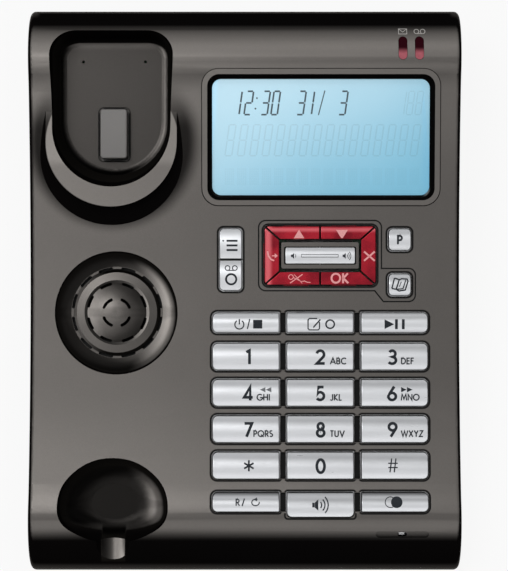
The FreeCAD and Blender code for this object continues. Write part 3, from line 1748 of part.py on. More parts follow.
def pilot_holes():
    holes = []
    radius = board_screw_radius + pilot_gap
    for x, v in post_places:
        holes.append(on_desk(rod(x, v, -board_level - 1, -board_level + board_screw_reach + 0.5,
                                 radius)))
    for x, v in led_post_places:
        holes.append(on_desk(rod(x, v, led_board_top - 1, led_board_top + 4.5, radius)))
    for x, v in hook_board_posts:
        holes.append(on_desk(rod(x, v, hook_board_top - 1, hook_board_top + 4.5, radius)))
    for x, v in speaker_screw_places():
        holes.append(on_desk(rod(x, v, dish_seat - 1, speaker_top + 3.3, radius)))
    for x, y in boss_points():
        holes.append(rod(x, y, boss_low - 1, boss_low + cover_screw_reach + 0.5,
                         cover_screw_radius + pilot_gap))
    return holes


def make_top_cover(body):
    lip = on_desk(lip_mound())
    shell = body.fuse(lip)
    inside = cavity_solid()
    inside = inside.cut(top_cover_keeps())
    below = box(-200, 200, -300, 300, -200, split_height)
    inside_above = inside.fuse(below)
    shell = shell.cut(inside_above)
    cutters = [on_desk(ear_space(0, 0, ear_floor_round)),
               on_desk(mouth_space(0)),
               notch_space(0),
               on_desk(dish_space()),
               on_desk(on_bezel(display_plate(-bezel_gap, -12, 12))),
               on_desk(nav_line())]
    cutters += [on_desk(slot) for slot in speaker_slots()]
    cutters += [on_desk(cutter) for cutter in key_cutters()]
    cutters += [on_desk(cutter) for cutter in mic_slot()]
    for x in (message_lens_x, power_lens_x):
        cutters.append(on_desk(lens_plan(x, lens_gap, led_board_top, 12)))
    for side in (-1, 1):
        cutters.append(on_desk(rod(ear_x + side * ear_pin_offset, ear_pin_v, ear_floor - 5,
                                   ear_floor + 3, ear_pin_radius)))
    cutters.append(on_desk(hook_plan(hook_gap, ear_floor - 5, ear_floor + 3)))
    cutters += wall_openings()
    cutters += pilot_holes()
    return shell.cut(cutters)


def keyhole(x, y, z0, z1):
    big = rod(x, y, z0, z1, keyhole_big)
    end = rod(x, y + keyhole_run, z0, z1, keyhole_slot)
    run = box(x - keyhole_slot, x + keyhole_slot, y, y + keyhole_run, z0, z1)
    return joined([big, end, run])


def foot_places():
    places = []
    for x in (-foot_x, foot_x):
        for y in (body_front + foot_front_inset, body_back - foot_back_inset):
            places.append((x, y))
    return places


def make_bottom_cover(body):
    low = foot_height
    tray = body.common(box(-200, 200, -300, 300, low, split_height))
    rim = [edge for edge in tray.Edges if edge.BoundBox.ZMax < low + 0.01]
    tray = tray.makeFillet(base_edge_radius, rim)
    hollow = side_slab(cover_wall, low + floor_wall, split_height + 5)
    tray = tray.cut(hollow)
    lip_outer = side_slab(cover_wall + seam_gap, low + floor_wall - 0.5,
                          split_height + seam_lip_height)
    lip_inner = side_slab(cover_wall + seam_gap + seam_lip_wall, low, split_height + 10)
    ledge = side_slab(cover_wall - 0.5, low + floor_wall - 0.5, split_height - 0.3).cut(lip_inner)
    adds = [lip_outer.cut(lip_inner), ledge]
    for x, inset in rear_post_places:
        adds.append(rod(x, rear_board_front + inset, low + floor_wall - 0.5,
                        rear_board_level - rear_board_thick, rear_post_radius))
    tray = joined([tray] + adds)
    cutters = []
    for x, y in boss_points():
        cutters.append(rod(x, y, -1, boss_low + 20, cover_screw_radius + 0.3))
        cutters.append(rod(x, y, low - 1, low + 1.2, cover_screw_head + 0.4))
        cutters.append(rod(x, y, boss_low, split_height + 10, boss_radius + 0.4))
    for x, y in foot_places():
        cutters.append(rod(x, y, low - 1, low + foot_recess, foot_radius + 0.15))
    for x, inset in rear_post_places:
        cutters.append(rod(x, rear_board_front + inset, low + 1.2, rear_board_level + 1,
                           board_screw_radius + pilot_gap))
    for side in (-1, 1):
        cutters.append(keyhole(side * keyhole_spacing / 2, keyhole_y, low - 1, boss_low + 1))
    cutters.append(box(-label_width / 2, label_width / 2, -label_length / 2 - 30,
                       label_length / 2 - 30, low - 1, low + label_depth))
    for number in range(vent_count):
        x = -vent_x - (number - (vent_count - 1) / 2) * vent_pitch
        cutters.append(plate(x - vent_width / 2, x + vent_width / 2, -vent_y - vent_length / 2 + 60,
                             -vent_y + vent_length / 2 + 60, low - 1, boss_low + 1,
                             vent_width / 2 - 0.01))
    cutters += wall_openings()
    return tray.cut(cutters)


def make_cover_screws():
    screws = []
    for x, y in boss_points():
        screws.append(screw(x, y, boss_low + cover_screw_reach, foot_height + 1.2 + 0.0,
                            cover_screw_radius, cover_screw_head, cover_screw_head_height * 0.5))
    return Part.makeCompound(screws)


def make_feet():
    feet = []
    for x, y in foot_places():
        pad = rod(x, y, 0, foot_height + foot_recess, foot_radius)
        rim = [edge for edge in pad.Edges if edge.BoundBox.ZMax < 0.01]
        feet.append(pad.makeFillet(0.5, rim))
    return Part.makeCompound(feet)


# Write one file for each piece

def export(name, shape):
    solids = shape.Solids
    if not solids or not all(solid.isValid() for solid in solids):
        print("CHECK", name, "solids", len(solids), "valid", [s.isValid() for s in solids])
    kept = solids[0] if len(solids) == 1 else Part.makeCompound(solids)
    kept.exportStep(os.path.join("parts", name + ".step"))
    print(name, len(solids), round(sum(solid.Volume for solid in solids), 1))


def main():
    os.makedirs("parts", exist_ok=True)
    body = body_solid()
    export("top_cover", make_top_cover(body))
    export("bottom_cover", make_bottom_cover(body))
    export("cover_screws", make_cover_screws())
    export("feet", make_feet())
    for name, shape in (("display_bezel", make_display_bezel()),
                        ("display_window", make_display_window()),
                        ("lcd_panel", make_lcd_panel()),
                        ("backlight", make_backlight()),
                        ("display_holder", make_display_holder())):
        export(name, on_desk(on_bezel(shape)))
    for name, plan in pad_key_plans() + small_key_plans():
        export(name, on_desk(pad_key(*plan)))
    for name, corners in ring_plans():
        export(name, on_desk(ring_key(name, corners)))
    for name, shape in (("volume_key_frame", make_volume_key_frame()),
                        ("volume_rocker", make_volume_rocker()),
                        ("indicator_lenses", make_lenses()),
                        ("leds", make_leds()),
                        ("led_board", make_led_board()),
                        ("main_board", make_main_board()),
                        ("board_chips", board_chips()),
                        ("keypad_mat", make_keypad_mat()),
                        ("display_cable", make_display_cable()),
                        ("speaker_frame", make_speaker_frame()),
                        ("speaker_cone", make_speaker_cone()),
                        ("speaker_magnet", make_speaker_magnet()),
                        ("hook_button", make_hook_button()),
                        ("hook_spring", make_hook_spring()),
                        ("hook_board", make_hook_board()),
                        ("hook_switch", make_hook_switch()),
                        ("microphone", make_microphone()),
                        ("microphone_boot", make_microphone_boot())):
        export(name, on_desk(shape))
    export("rear_board", make_rear_board())
    export("inner_screws", make_inner_screws())
    export("line_jack", make_line_jack())
    export("power_jack", make_power_jack())
    export("handset_jack", make_handset_jack())


main()
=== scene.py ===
import math

import bmesh
import bpy
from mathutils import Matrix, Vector
from mathutils.bvhtree import BVHTree


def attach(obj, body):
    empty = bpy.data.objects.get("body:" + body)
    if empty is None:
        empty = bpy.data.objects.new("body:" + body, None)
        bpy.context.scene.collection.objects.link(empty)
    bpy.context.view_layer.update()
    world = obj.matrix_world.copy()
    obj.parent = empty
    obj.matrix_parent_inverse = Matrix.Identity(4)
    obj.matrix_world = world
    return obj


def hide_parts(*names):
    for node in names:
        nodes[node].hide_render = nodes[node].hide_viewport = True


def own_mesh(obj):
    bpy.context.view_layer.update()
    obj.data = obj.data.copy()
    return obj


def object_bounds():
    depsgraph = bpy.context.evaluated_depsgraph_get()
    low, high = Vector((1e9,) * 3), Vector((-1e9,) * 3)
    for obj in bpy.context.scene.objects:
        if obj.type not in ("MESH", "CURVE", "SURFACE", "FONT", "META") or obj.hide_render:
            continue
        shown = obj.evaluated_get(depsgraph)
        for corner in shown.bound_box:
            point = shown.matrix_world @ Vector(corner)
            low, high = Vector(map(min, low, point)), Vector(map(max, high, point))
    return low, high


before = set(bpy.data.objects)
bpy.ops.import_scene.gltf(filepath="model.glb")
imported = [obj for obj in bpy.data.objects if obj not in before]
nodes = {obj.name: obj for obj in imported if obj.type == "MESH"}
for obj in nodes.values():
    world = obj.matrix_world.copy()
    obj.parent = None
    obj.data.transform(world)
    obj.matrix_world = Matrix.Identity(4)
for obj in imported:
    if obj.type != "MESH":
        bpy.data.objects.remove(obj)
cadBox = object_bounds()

print("frame loaded:", len(nodes), "nodes")

# The sloping panel: x to the right, v up the slope from the front, w square to it, all in mm
panel = {
    "tilt": 8.0, "originY": -113.03, "originZ": 26.162,
}
tiltSin = math.sin(math.radians(panel["tilt"]))
tiltCos = math.cos(math.radians(panel["tilt"]))
panelUp = Vector((0, -tiltSin, tiltCos))
panelBack = Vector((0, tiltCos, tiltSin))


def onPanel(x, v, w=0.0):
    y = panel["originY"] + v * tiltCos - w * tiltSin
    z = panel["originZ"] + v * tiltSin + w * tiltCos
    return Vector((x, y, z)) / 1000


def addObject(name, data):
    added = bpy.data.objects.new(name, data)
    bpy.context.scene.collection.objects.link(added)
    return added


# Camera: square to the panel, as the photograph looks at it
lens = {
    "aimX": 3.7, "aimV": 113.4, "distance": 850.0, "focal": 134.0, "sensor": 36.0,
    "clip": (0.05, 20),
}


def makeCamera():
    data = bpy.data.cameras.new("deskCamera")
    data.lens = lens["focal"]
    data.sensor_width = lens["sensor"]
    data.sensor_fit = "AUTO"
    data.clip_start, data.clip_end = lens["clip"]
    camera = addObject("deskCamera", data)
    camera.location = onPanel(lens["aimX"], lens["aimV"], lens["distance"])
    camera.rotation_mode = "XYZ"
    camera.rotation_euler = (math.radians(panel["tilt"]), 0, 0)
    bpy.context.scene.camera = camera
    return camera


camera = makeCamera()


# Shader writing: a Value is one socket that takes part in sums, a Finish is one node tree
class Value:
    def __init__(self, finish, socket):
        self.finish = finish
        self.socket = socket

    def sum(self, operation, first, second=0.0):
        made = self.finish.node("Math", {"operation": operation}, {0: first, 1: second})
        return Value(self.finish, made.outputs[0])

    def __add__(self, other):
        return self.sum("ADD", self, other)

    def __radd__(self, other):
        return self.sum("ADD", other, self)

    def __sub__(self, other):
        return self.sum("SUBTRACT", self, other)

    def __rsub__(self, other):
        return self.sum("SUBTRACT", other, self)

    def __mul__(self, other):
        return self.sum("MULTIPLY", self, other)

    def __rmul__(self, other):
        return self.sum("MULTIPLY", other, self)

    def __abs__(self):
        return self.sum("ABSOLUTE", self)


class Finish:
    def __init__(self, name, tree=None):
        if tree is None:
            self.material = bpy.data.materials.new(name)
            self.material.use_nodes = True
            tree = self.material.node_tree
        self.tree = tree
        self.tree.nodes.clear()
        self.place = None
        self.axes = None

    def node(self, kind, settings=None, sockets=None):
        made = self.tree.nodes.new("ShaderNode" + kind)
        for key, value in (settings or {}).items():
            setattr(made, key, value)
        for key, value in (sockets or {}).items():
            self.feed(made.inputs[key], value)
        return made

    def feed(self, socket, value):
        if isinstance(value, Value):
            self.tree.links.new(value.socket, socket)
        elif isinstance(value, bpy.types.NodeSocket):
            self.tree.links.new(value, socket)
        elif isinstance(value, (tuple, list)) and socket.type == "RGBA" and len(value) == 3:
            socket.default_value = (*value, 1)
        else:
            socket.default_value = value

    def position(self):  # the point in metres, the same as in the frame
        if self.place is None:
            self.place = self.node("TexCoord").outputs["Object"]
        return self.place

    def axis(self, letter):
        if self.axes is None:
            self.axes = self.node("SeparateXYZ", {}, {0: self.position()}).outputs
        return Value(self, self.axes[letter])

    def vector(self, operation, first, second):
        return self.node("VectorMath", {"operation": operation}, {0: first, 1: second}).outputs

    def dot(self, vector, direction):
        return Value(self, self.vector("DOT_PRODUCT", vector, tuple(direction))["Value"])

    def stretched(self, scale):
        return self.vector("MULTIPLY", self.position(), scale)["Vector"]

    def noise(self, scale, detail, roughness=0.5, vector=None):
        made = self.node("TexNoise", {}, {"Vector": vector or self.position(), "Scale": scale,
                                          "Detail": detail, "Roughness": roughness})
        return Value(self, made.outputs[0])

    def cells(self, scale, output):
        made = self.node("TexVoronoi", {}, {"Vector": self.position(), "Scale": scale})
        return Value(self, made.outputs[output])

    def ease(self, value, low, high, start=0.0, end=1.0):
        made = self.node("MapRange", {"interpolation_type": "SMOOTHSTEP"},
                         {"Value": value, "From Min": low, "From Max": high,
                          "To Min": start, "To Max": end})
        return Value(self, made.outputs[0])

    def easeMm(self, value, places, start=0.0, end=1.0):  # between two values in millimetres
        return self.ease(value, places[0] / 1000, places[1] / 1000, start, end)

    def easeV(self, places, start=0.0, end=1.0):  # between two places up the panel
        low, high = (onPanel(0, v).y for v in places)
        return self.ease(self.axis("Y"), low, high, start, end)

    def blend(self, factor, first, second):
        made = self.node("Mix", {"data_type": "RGBA"}, {0: factor, 6: first, 7: second})
        return made.outputs[2]

    def scaled(self, color, tone):
        return self.node("VectorMath", {"operation": "SCALE"}, {0: color, "Scale": tone}).outputs[0]

    def bump(self, height, depth, strength):
        made = self.node("Bump", {}, {"Height": height, "Distance": depth, "Strength": strength})
        return made.outputs["Normal"]

    def surface(self, sockets):
        made = self.node("BsdfPrincipled", {}, sockets)
        output = self.node("OutputMaterial")
        self.tree.links.new(made.outputs[0], output.inputs["Surface"])
        return self.material


def shade(color, factor):
    return tuple(part * factor for part in color)


# Case paint: fine aluminium flake in a warm grey lacquer, with painted light and shade: it is
# painted near-black where the case turns steeply away from the panel, painted darker inside the
# hollows and painted lighter on slopes facing left. Widths, levels and places (v) are in
# millimetres.
casePaint = {
    "color": (0.092, 0.0855, 0.080), "steepShadeColor": (0.0035, 0.003, 0.003),
    "hollowSteepShadeColor": (0.010, 0.009, 0.008), "metallic": 0.85, "roughness": 0.36,
    "grainRoughness": 0.08, "cloudRoughness": 0.05, "flakeScale": 5200.0,
    "flakeDepth": 0.000012, "edgeTint": (0.25, 0.25, 0.25), "startV": (14, 20),
    "endV": (212, 217), "tongueWidth": (4.4, 5.2), "tongueStartV": (2.6, 3.8),
    "tongueEndV": (16, 20), "outerX": (82.5, 85.0), "outerEnd": (1.5, 3.5),
    "outerFacing": (0.3, 0.6), "outerKeeps": 0.8, "hollowLevel": (-4.8, -3.6),
    "deepLevel": (-14, -6), "deepShade": 0.62, "mouthEndV": (44, 52), "mouthShade": 0.65,
    "flatLean": 9.0, "flatFacing": (0.83, 0.968), "hollowFacing": (0.35, 0.18),
    "litFacing": (0.15, 0.6), "litTone": 2.6, "litRelief": 0.8, "sideWeight": 1.3,
    "swellWeight": 1.6, "sideRange": (0.1, 1.9), "sideTones": (0.12, 1.9), "tone": 0.9,
    "cloudTone": 0.12, "flakeTone": 0.16, "swellFacing": (0.035, 0.085), "swellHighlight": 0.3,
    "raisedLevel": (2.2, 2.8), "raisedShade": 0.72,
}
# Painted shadow behind the raised lip of the ear pocket, round the lip's middle
lipShade = {
    "x": -53.0, "v": 170.8, "from": (26.2, 26.8), "to": (30.0, 37.5), "endV": (176, 198),
    "level": (-12, -8), "shade": 0.9,
}


def facing(finish, direction):  # how squarely the surface faces a direction
    return finish.dot(finish.node("NewGeometry").outputs["Normal"], direction)


def abovePanel(finish):  # metres above the panel plane
    return finish.dot(finish.position(), panelUp) - onPanel(0, 0).dot(panelUp)


def leaned(backward):  # the panel's upright, leaned back by some degrees
    turn = math.radians(backward)
    return panelUp * math.cos(turn) + panelBack * math.sin(turn)


# Painted shadow: the band round the ear pocket's lip, in front of the pocket's back
def underLip(finish, level):
    look = lipShade
    middle = tuple(onPanel(look["x"], look["v"]))
    away = finish.vector("DISTANCE", finish.position(), middle)["Value"]
    under = finish.easeMm(away, look["from"]) * finish.easeMm(away, look["to"], 1.0, 0.0)
    return under * finish.easeV(look["endV"], 1.0, 0.0) * finish.easeMm(level, look["level"])


def makeCasePaint():
    look = casePaint
    finish = Finish("casePaint")
    flake = finish.cells(look["flakeScale"], "Color")
    cloud = finish.noise(34, 3)
    grain = finish.noise(2600, 2)
    x, y = finish.axis("X"), finish.axis("Y")
    level = abovePanel(finish)

    # The hollows, which get painted shade, lie within the panel and the tongue of the cord notch,
    # not on the outer walls
    within = finish.easeV(look["startV"]) * finish.easeV(look["endV"], 1.0, 0.0)
    tongue = finish.easeMm(abs(x - lipShade["x"] / 1000), look["tongueWidth"], 1.0, 0.0)
    tongue = tongue * finish.easeV(look["tongueStartV"])
    tongue = tongue * finish.easeV(look["tongueEndV"], 1.0, 0.0)
    within = within + tongue * (1.0 - within)
    outer = finish.easeMm(abs(x), look["outerX"])
    within = within * (1.0 - outer)
    hollow = finish.easeMm(level, look["hollowLevel"], 1.0, 0.0) * within
    deep = finish.easeMm(level, look["deepLevel"], 1.0, 0.0) * within
    mouth = deep * finish.easeV(look["mouthEndV"], 1.0, 0.0)

    # Flat enough to show the grey; steeper surfaces get the near-black painted shade, but the outer
    # walls always show the grey
    (low, high), (lowLess, highLess) = look["flatFacing"], look["hollowFacing"]
    flat = finish.ease(facing(finish, leaned(look["flatLean"])),
                       low - lowLess * hollow, high - highLess * hollow)
    near, far = (reach / 1000 for reach in look["outerEnd"])
    front, back = cadBox[0][1], cadBox[1][1]
    ends = finish.ease(y, front + near, front + far, 1.0, 0.0)
    ends = ends + finish.ease(y, back - far, back - near)
    outer = outer + ends * (1.0 - outer)
    outer = outer * finish.ease(facing(finish, panelUp), *look["outerFacing"],
                                look["outerKeeps"], 0.0)
    flat = flat + outer * (1.0 - flat)

    # Tone of the grey, painted light and shade: painted lighter on slopes to the left and on gentle
    # slopes leaning front or back, painted darker on those to the right, deep down, behind the lip
    # and on raised parts
    swell = abs(facing(finish, panelBack))
    lit = finish.ease(facing(finish, (-1, 0, 0)), *look["litFacing"])
    side = 1.0 - look["sideWeight"] * facing(finish, (1, 0, 0)) - look["swellWeight"] * swell
    shadow = finish.ease(side, *look["sideRange"], *look["sideTones"]) + look["litTone"] * lit
    unlit = 1.0 - look["litRelief"] * lit
    tone = look["tone"] + look["cloudTone"] * cloud + look["flakeTone"] * (flake - 0.5)
    tone = tone + finish.ease(swell, *look["swellFacing"], 0.0, look["swellHighlight"])
    tone = tone * (1.0 + hollow * (shadow - 1.0)) * (1.0 - deep * unlit * look["deepShade"])
    tone = tone * (1.0 - mouth * unlit * look["mouthShade"])
    tone = tone * (1.0 - underLip(finish, level) * lipShade["shade"])
    tone = tone * finish.easeMm(level, look["raisedLevel"], 1.0, look["raisedShade"])
    # Steep walls are painted near-black as shade, a little less dark in the hollows
    wallShade = finish.blend(hollow, look["steepShadeColor"], look["hollowSteepShadeColor"])
    rough = look["grainRoughness"] * (grain - 0.5) + look["cloudRoughness"] * (cloud - 0.5)
    return finish.surface({
        "Base Color": finish.blend(flat, wallShade, finish.scaled(look["color"], tone)),
        "Metallic": look["metallic"] * flat,
        "Roughness": look["roughness"] + rough,
        "Specular Tint": look["edgeTint"],
        "Specular IOR Level": 0.0,
        "Normal": finish.bump(flake + grain * 0.6, look["flakeDepth"], 0.35),
    })


# Moulded black plastic of the lower cover, with a spark texture
lowerPlastic = {"color": (0.018, 0.018, 0.019), "roughness": 0.62, "sparkScale": 1500.0}


def makeLowerPlastic():
    look = lowerPlastic
    finish = Finish("lowerPlastic")
    spark = finish.noise(look["sparkScale"], 3, 0.6)
    dust = finish.noise(60, 4)
    color = finish.blend(finish.ease(spark, 0.35, 0.7), shade(look["color"], 0.75),
                         shade(look["color"], 1.5))
    return finish.surface({
        "Base Color": color,
        "Roughness": look["roughness"] + 0.12 * (dust - 0.5),
        "Normal": finish.bump(spark, 0.00006, 0.7),
    })


# Silver key paint, drawn out along the key, with painted shade: darker on slopes facing back or
# front, and near-black on its steep edges
silverPaint = {
    "color": (0.60, 0.61, 0.63), "edgeShadeColor": (0.02, 0.02, 0.021), "metallic": 0.72,
    "roughness": 0.3, "tone": 0.94, "drawnTone": 0.06, "cloudTone": 0.05, "sparkleTone": 0.06,
    "backFacing": (0.05, 0.3), "backShade": 0.5, "frontFacing": (-0.35, -0.1), "frontShade": 0.8,
    "flatFacing": (0.72, 0.94),
}


def makeSilverPaint():
    look = silverPaint
    finish = Finish("silverPaint")
    drawn = finish.noise(900, 2, 0.5, finish.stretched((0.12, 1, 1)))
    cloud = finish.noise(70, 2)
    sparkle = finish.cells(7000, "Color")
    tone = look["tone"] + look["drawnTone"] * drawn + look["cloudTone"] * cloud
    tone = tone + look["sparkleTone"] * (sparkle - 0.5)
    # Painted shade: darker where the key's top turns to the back or to the front
    slope = facing(finish, panelBack)
    tone = tone * (1.0 - finish.ease(slope, *look["backFacing"], 0.0, look["backShade"]))
    tone = tone * finish.ease(slope, *look["frontFacing"], look["frontShade"], 1.0)
    flat = finish.ease(facing(finish, panelUp), *look["flatFacing"])
    return finish.surface({
        "Base Color": finish.blend(flat, look["edgeShadeColor"], finish.scaled(look["color"], tone)),
        "Metallic": look["metallic"] * flat,
        "Specular IOR Level": 0.2,
        "Roughness": look["roughness"] + 0.1 * (drawn - 0.5),
        "Normal": finish.bump(sparkle, 0.000006, 0.25),
    })


# Red lacquer over silver on the ring, with a paler band as painted highlight along its back (v) and
# left (x) edges, and near-black painted shade on its steep edges
redLacquer = {
    "color": (0.35, 0.012, 0.024), "deep": (0.15, 0.003, 0.01),
    "edgeShadeColor": (0.012, 0.001, 0.001), "bandHighlightColor": (0.62, 0.12, 0.14), "metallic": 0.62,
    "roughness": 0.3, "backBandV": ((134.6, 136.0), (136.2, 137.2)), "backBandShare": 0.75,
    "leftBandX": ((7.8, 8.8), (9.5, 11.5)), "leftBandShare": 0.8, "flatFacing": (0.75, 0.95),
}


def makeRedLacquer():
    look = redLacquer
    finish = Finish("redLacquer")
    sparkle = finish.cells(6000, "Color")
    cloud = finish.noise(90, 2)
    color = finish.blend(finish.ease(cloud + 0.3 * (sparkle - 0.5), 0.3, 0.75),
                         look["color"], look["deep"])
    start, end = look["backBandV"]
    upper = finish.easeV(start) * finish.easeV(end, 1.0, 0.0)
    start, end = look["leftBandX"]
    x = finish.axis("X")
    outer = finish.easeMm(x, start) * finish.easeMm(x, end, 1.0, 0.0)
    # The painted highlight: the paler band along the back and left edges
    band = look["backBandShare"] * upper + look["leftBandShare"] * outer * (1.0 - upper)
    color = finish.blend(band, color, look["bandHighlightColor"])
    flat = finish.ease(facing(finish, panelUp), *look["flatFacing"])
    return finish.surface({
        "Base Color": finish.blend(flat, look["edgeShadeColor"], color),
        "Metallic": look["metallic"] * flat,
        "Roughness": look["roughness"] + 0.08 * (cloud - 0.5),
        "Specular IOR Level": 0.2,
        "Normal": finish.bump(sparkle, 0.000008, 0.3),
    })


def makeSmoothPlastic(name, color, roughness, mottle=0.1, bump=0.00001, scale=1800.0, alpha=1.0):
    finish = Finish(name)
    grain = finish.noise(scale, 3)
    cloud = finish.noise(80, 2)
    tone = 1 - mottle / 2 + mottle * cloud
    return finish.surface({
        "Base Color": finish.scaled(color, tone),
        "Roughness": roughness + 0.1 * (grain - 0.5),
        "Alpha": alpha,
        "Normal": finish.bump(grain, bump, 0.5),
    })


def makeMetal(name, color, roughness, grainStretch, bump=0.000008):
    finish = Finish(name)
    grain = finish.noise(1400, 3, 0.6, finish.stretched(grainStretch))
    stain = finish.noise(220, 3)
    tone = 0.82 + 0.2 * grain + 0.12 * stain
    return finish.surface({
        "Base Color": finish.scaled(color, tone),
        "Metallic": 1.0,
        "Roughness": roughness + 0.18 * (grain - 0.5),
        "Normal": finish.bump(grain, bump, 0.5),
    })


def makeRubber(name, color):
    finish = Finish(name)
    pores = finish.noise(2400, 4, 0.65)
    wear = finish.noise(140, 3)
    mixed = finish.blend(finish.ease(wear, 0.4, 0.75), color, shade(color, 1.7))
    return finish.surface({
        "Base Color": mixed,
        "Roughness": 0.78 + 0.14 * (pores - 0.5),
        "Normal": finish.bump(pores, 0.00004, 0.6),
    })


# Circuit board: solder mask over copper tracks
board = {"mask": (0.012, 0.12, 0.045), "track": (0.03, 0.21, 0.08), "pad": (0.62, 0.5, 0.3)}


def makeBoard():
    finish = Finish("circuitBoard")
    lanes = finish.node("TexBrick", {"offset": 0.37, "squash": 1.0}, {
        "Vector": finish.stretched((520, 520, 520)), "Scale": 1.0, "Mortar Size": 0.09,
        "Color1": (1, 1, 1), "Color2": (0.9, 0.9, 0.9), "Mortar": (0, 0, 0),
        "Brick Width": 3.2, "Row Height": 0.7}).outputs["Fac"]
    dots = finish.cells(420, "Distance")
    weave = finish.noise(900, 2)
    green = finish.blend(lanes, board["mask"], board["track"])
    color = finish.blend(1.0 - finish.ease(dots, 0.09, 0.12), green, board["pad"])
    return finish.surface({
        "Base Color": color,
        "Roughness": 0.34 + 0.1 * (weave - 0.5),
        "Normal": finish.bump(Value(finish, lanes) + 0.2 * weave, 0.00003, 0.6),
    })


# Display: a lit liquid crystal cell behind a clear window
display = {
    "pale": (0.452, 0.658, 0.76), "deep": (0.138, 0.40, 0.545), "glow": 0.5, "paleX": -11.0,
    "paleV": 192.0, "deepX": 19.7, "deepV": 129.0, "on": (0.05, 0.085, 0.11),
}


def makeDisplayBlue(name, tone=1.0):
    look = display
    finish = Finish(name)
    start = onPanel(look["paleX"], look["paleV"])
    along = onPanel(look["deepX"], look["deepV"]) - start
    shifted = finish.vector("SUBTRACT", finish.position(), tuple(start))["Vector"]
    reach = finish.dot(shifted, along / along.length_squared)
    cloud = finish.noise(26, 2)
    share = finish.ease(reach + 0.12 * (cloud - 0.5), -0.05, 1.05)
    color = finish.blend(share, shade(look["pale"], tone), shade(look["deep"], tone))
    return finish.surface({
        "Base Color": color,
        "Roughness": 0.22 + 0.04 * (cloud - 0.5),
        "Emission Color": color,
        "Emission Strength": look["glow"],
    })


def makeInk(name, color, roughness=0.45, glow=0.0):
    finish = Finish(name)
    speck = finish.noise(3800, 2)
    mixed = finish.blend(finish.ease(speck, 0.3, 0.7), shade(color, 0.9), shade(color, 1.1))
    sockets = {"Base Color": mixed, "Roughness": roughness + 0.1 * (speck - 0.5),
               "Specular IOR Level": 0.1}
    if glow:
        sockets["Emission Color"] = mixed
        sockets["Emission Strength"] = glow
    return finish.surface(sockets)


# Indicator lenses: clear red mouldings, paler where the light guide ends, with a faint painted glow
lensRed = {"dark": (0.025, 0.003, 0.006), "bright": (0.50, 0.14, 0.17), "edgeV": 208.0}


def makeLensRed():
    finish = Finish("lensRed")
    y = finish.axis("Y")
    middle = onPanel(0, lensRed["edgeV"]).y
    share = 1.0 - finish.ease(y, middle - 0.0025, middle + 0.0005)
    ripple = finish.noise(700, 2)
    color = finish.blend(share * (0.6 + 0.4 * ripple), lensRed["dark"], lensRed["bright"])
    return finish.surface({
        "Base Color": color,
        "Roughness": 0.14 + 0.08 * (ripple - 0.5),
        # A faint painted glow, though no lamp lights the lens
        "Emission Color": color,
        "Emission Strength": 0.12,
        "Specular IOR Level": 0.0,
    })


def makeClear(name, alpha, roughness):
    finish = Finish(name)
    smear = finish.noise(45, 3)
    return finish.surface({
        "Base Color": (0.86, 0.92, 0.95),
        "Roughness": roughness + 0.03 * smear,
        "Alpha": alpha + 0.01 * (smear - 0.5),
    })


def makeSocketPlastic():
    finish = Finish("socketPlastic")
    grain = finish.noise(1700, 3)
    cloud = finish.noise(160, 2)
    mixed = finish.blend(finish.ease(cloud, 0.3, 0.7), (0.012, 0.012, 0.013),
                         (0.028, 0.028, 0.03))
    return finish.surface({
        "Base Color": mixed,
        "Roughness": 0.46 + 0.1 * (grain - 0.5),
        "Normal": finish.bump(grain, 0.00002, 0.5),
    })


# Colour, roughness, mottle, depth and scale of the grain, alpha
smoothPlastics = {
    "hookPlastic": ((0.165, 0.157, 0.15), 0.42, 0.12),
    "whitePlastic": ((0.78, 0.79, 0.79), 0.4),
    "chipEpoxy": ((0.02, 0.02, 0.021), 0.55, 0.3, 0.00003),
    "ledEpoxy": ((0.75, 0.7, 0.66), 0.15, 0.1, 0.000004, 900, 0.8),
    "cableFilm": ((0.55, 0.27, 0.05), 0.3, 0.3),
    "switchPlastic": ((0.03, 0.03, 0.035), 0.5, 0.2),
    "conePaper": ((0.012, 0.012, 0.012), 0.85, 0.5, 0.00008, 2600),
}
# Colour, roughness, which way the grain is drawn out, its depth
metals = {
    "steelScrew": ((0.55, 0.55, 0.57), 0.3, (1, 1, 0.2)),
    "springSteel": ((0.6, 0.6, 0.62), 0.22, (1, 1, 1)),
    "speakerSteel": ((0.5, 0.5, 0.5), 0.36, (0.3, 1, 1)),
    "ferrite": ((0.09, 0.09, 0.095), 0.6, (1, 1, 1), 0.00003),
    "canAluminium": ((0.75, 0.75, 0.76), 0.28, (1, 1, 0.2)),
}
# Colour, roughness, glow
inks = {
    "inkDark": ((0.022, 0.026, 0.032),),
    "inkGray": ((0.20, 0.21, 0.22),),
    # The pink ink glows faintly: painted light on the ring's legends
    "inkPink": ((0.80, 0.36, 0.36), 0.4, 0.12),
    "inkPale": ((0.48, 0.46, 0.44),),
    "cellOn": (display["on"], 0.3),
    # Near-black for the painted shade in the gaps and the groove
    "gapBlack": ((0.004, 0.004, 0.004), 0.6),
}
finishes = {
    "casePaint": makeCasePaint(),
    "lowerPlastic": makeLowerPlastic(),
    "silverPaint": makeSilverPaint(),
    "redLacquer": makeRedLacquer(),
    "displayBlue": makeDisplayBlue("displayBlue"),
    "cellOff": makeDisplayBlue("cellOff", 0.88),
    "cellDots": makeDisplayBlue("cellDots", 0.95),
    "windowClear": makeClear("windowClear", 0.07, 0.03),
    "lensRed": makeLensRed(),
    "circuitBoard": makeBoard(),
    "footRubber": makeRubber("footRubber", (0.012, 0.012, 0.012)),
    "keypadRubber": makeRubber("keypadRubber", (0.36, 0.36, 0.355)),
    "socketPlastic": makeSocketPlastic(),
}
for make, looks in ((makeSmoothPlastic, smoothPlastics), (makeMetal, metals), (makeInk, inks)):
    for finishName, look in looks.items():
        finishes[finishName] = make(finishName, *look)

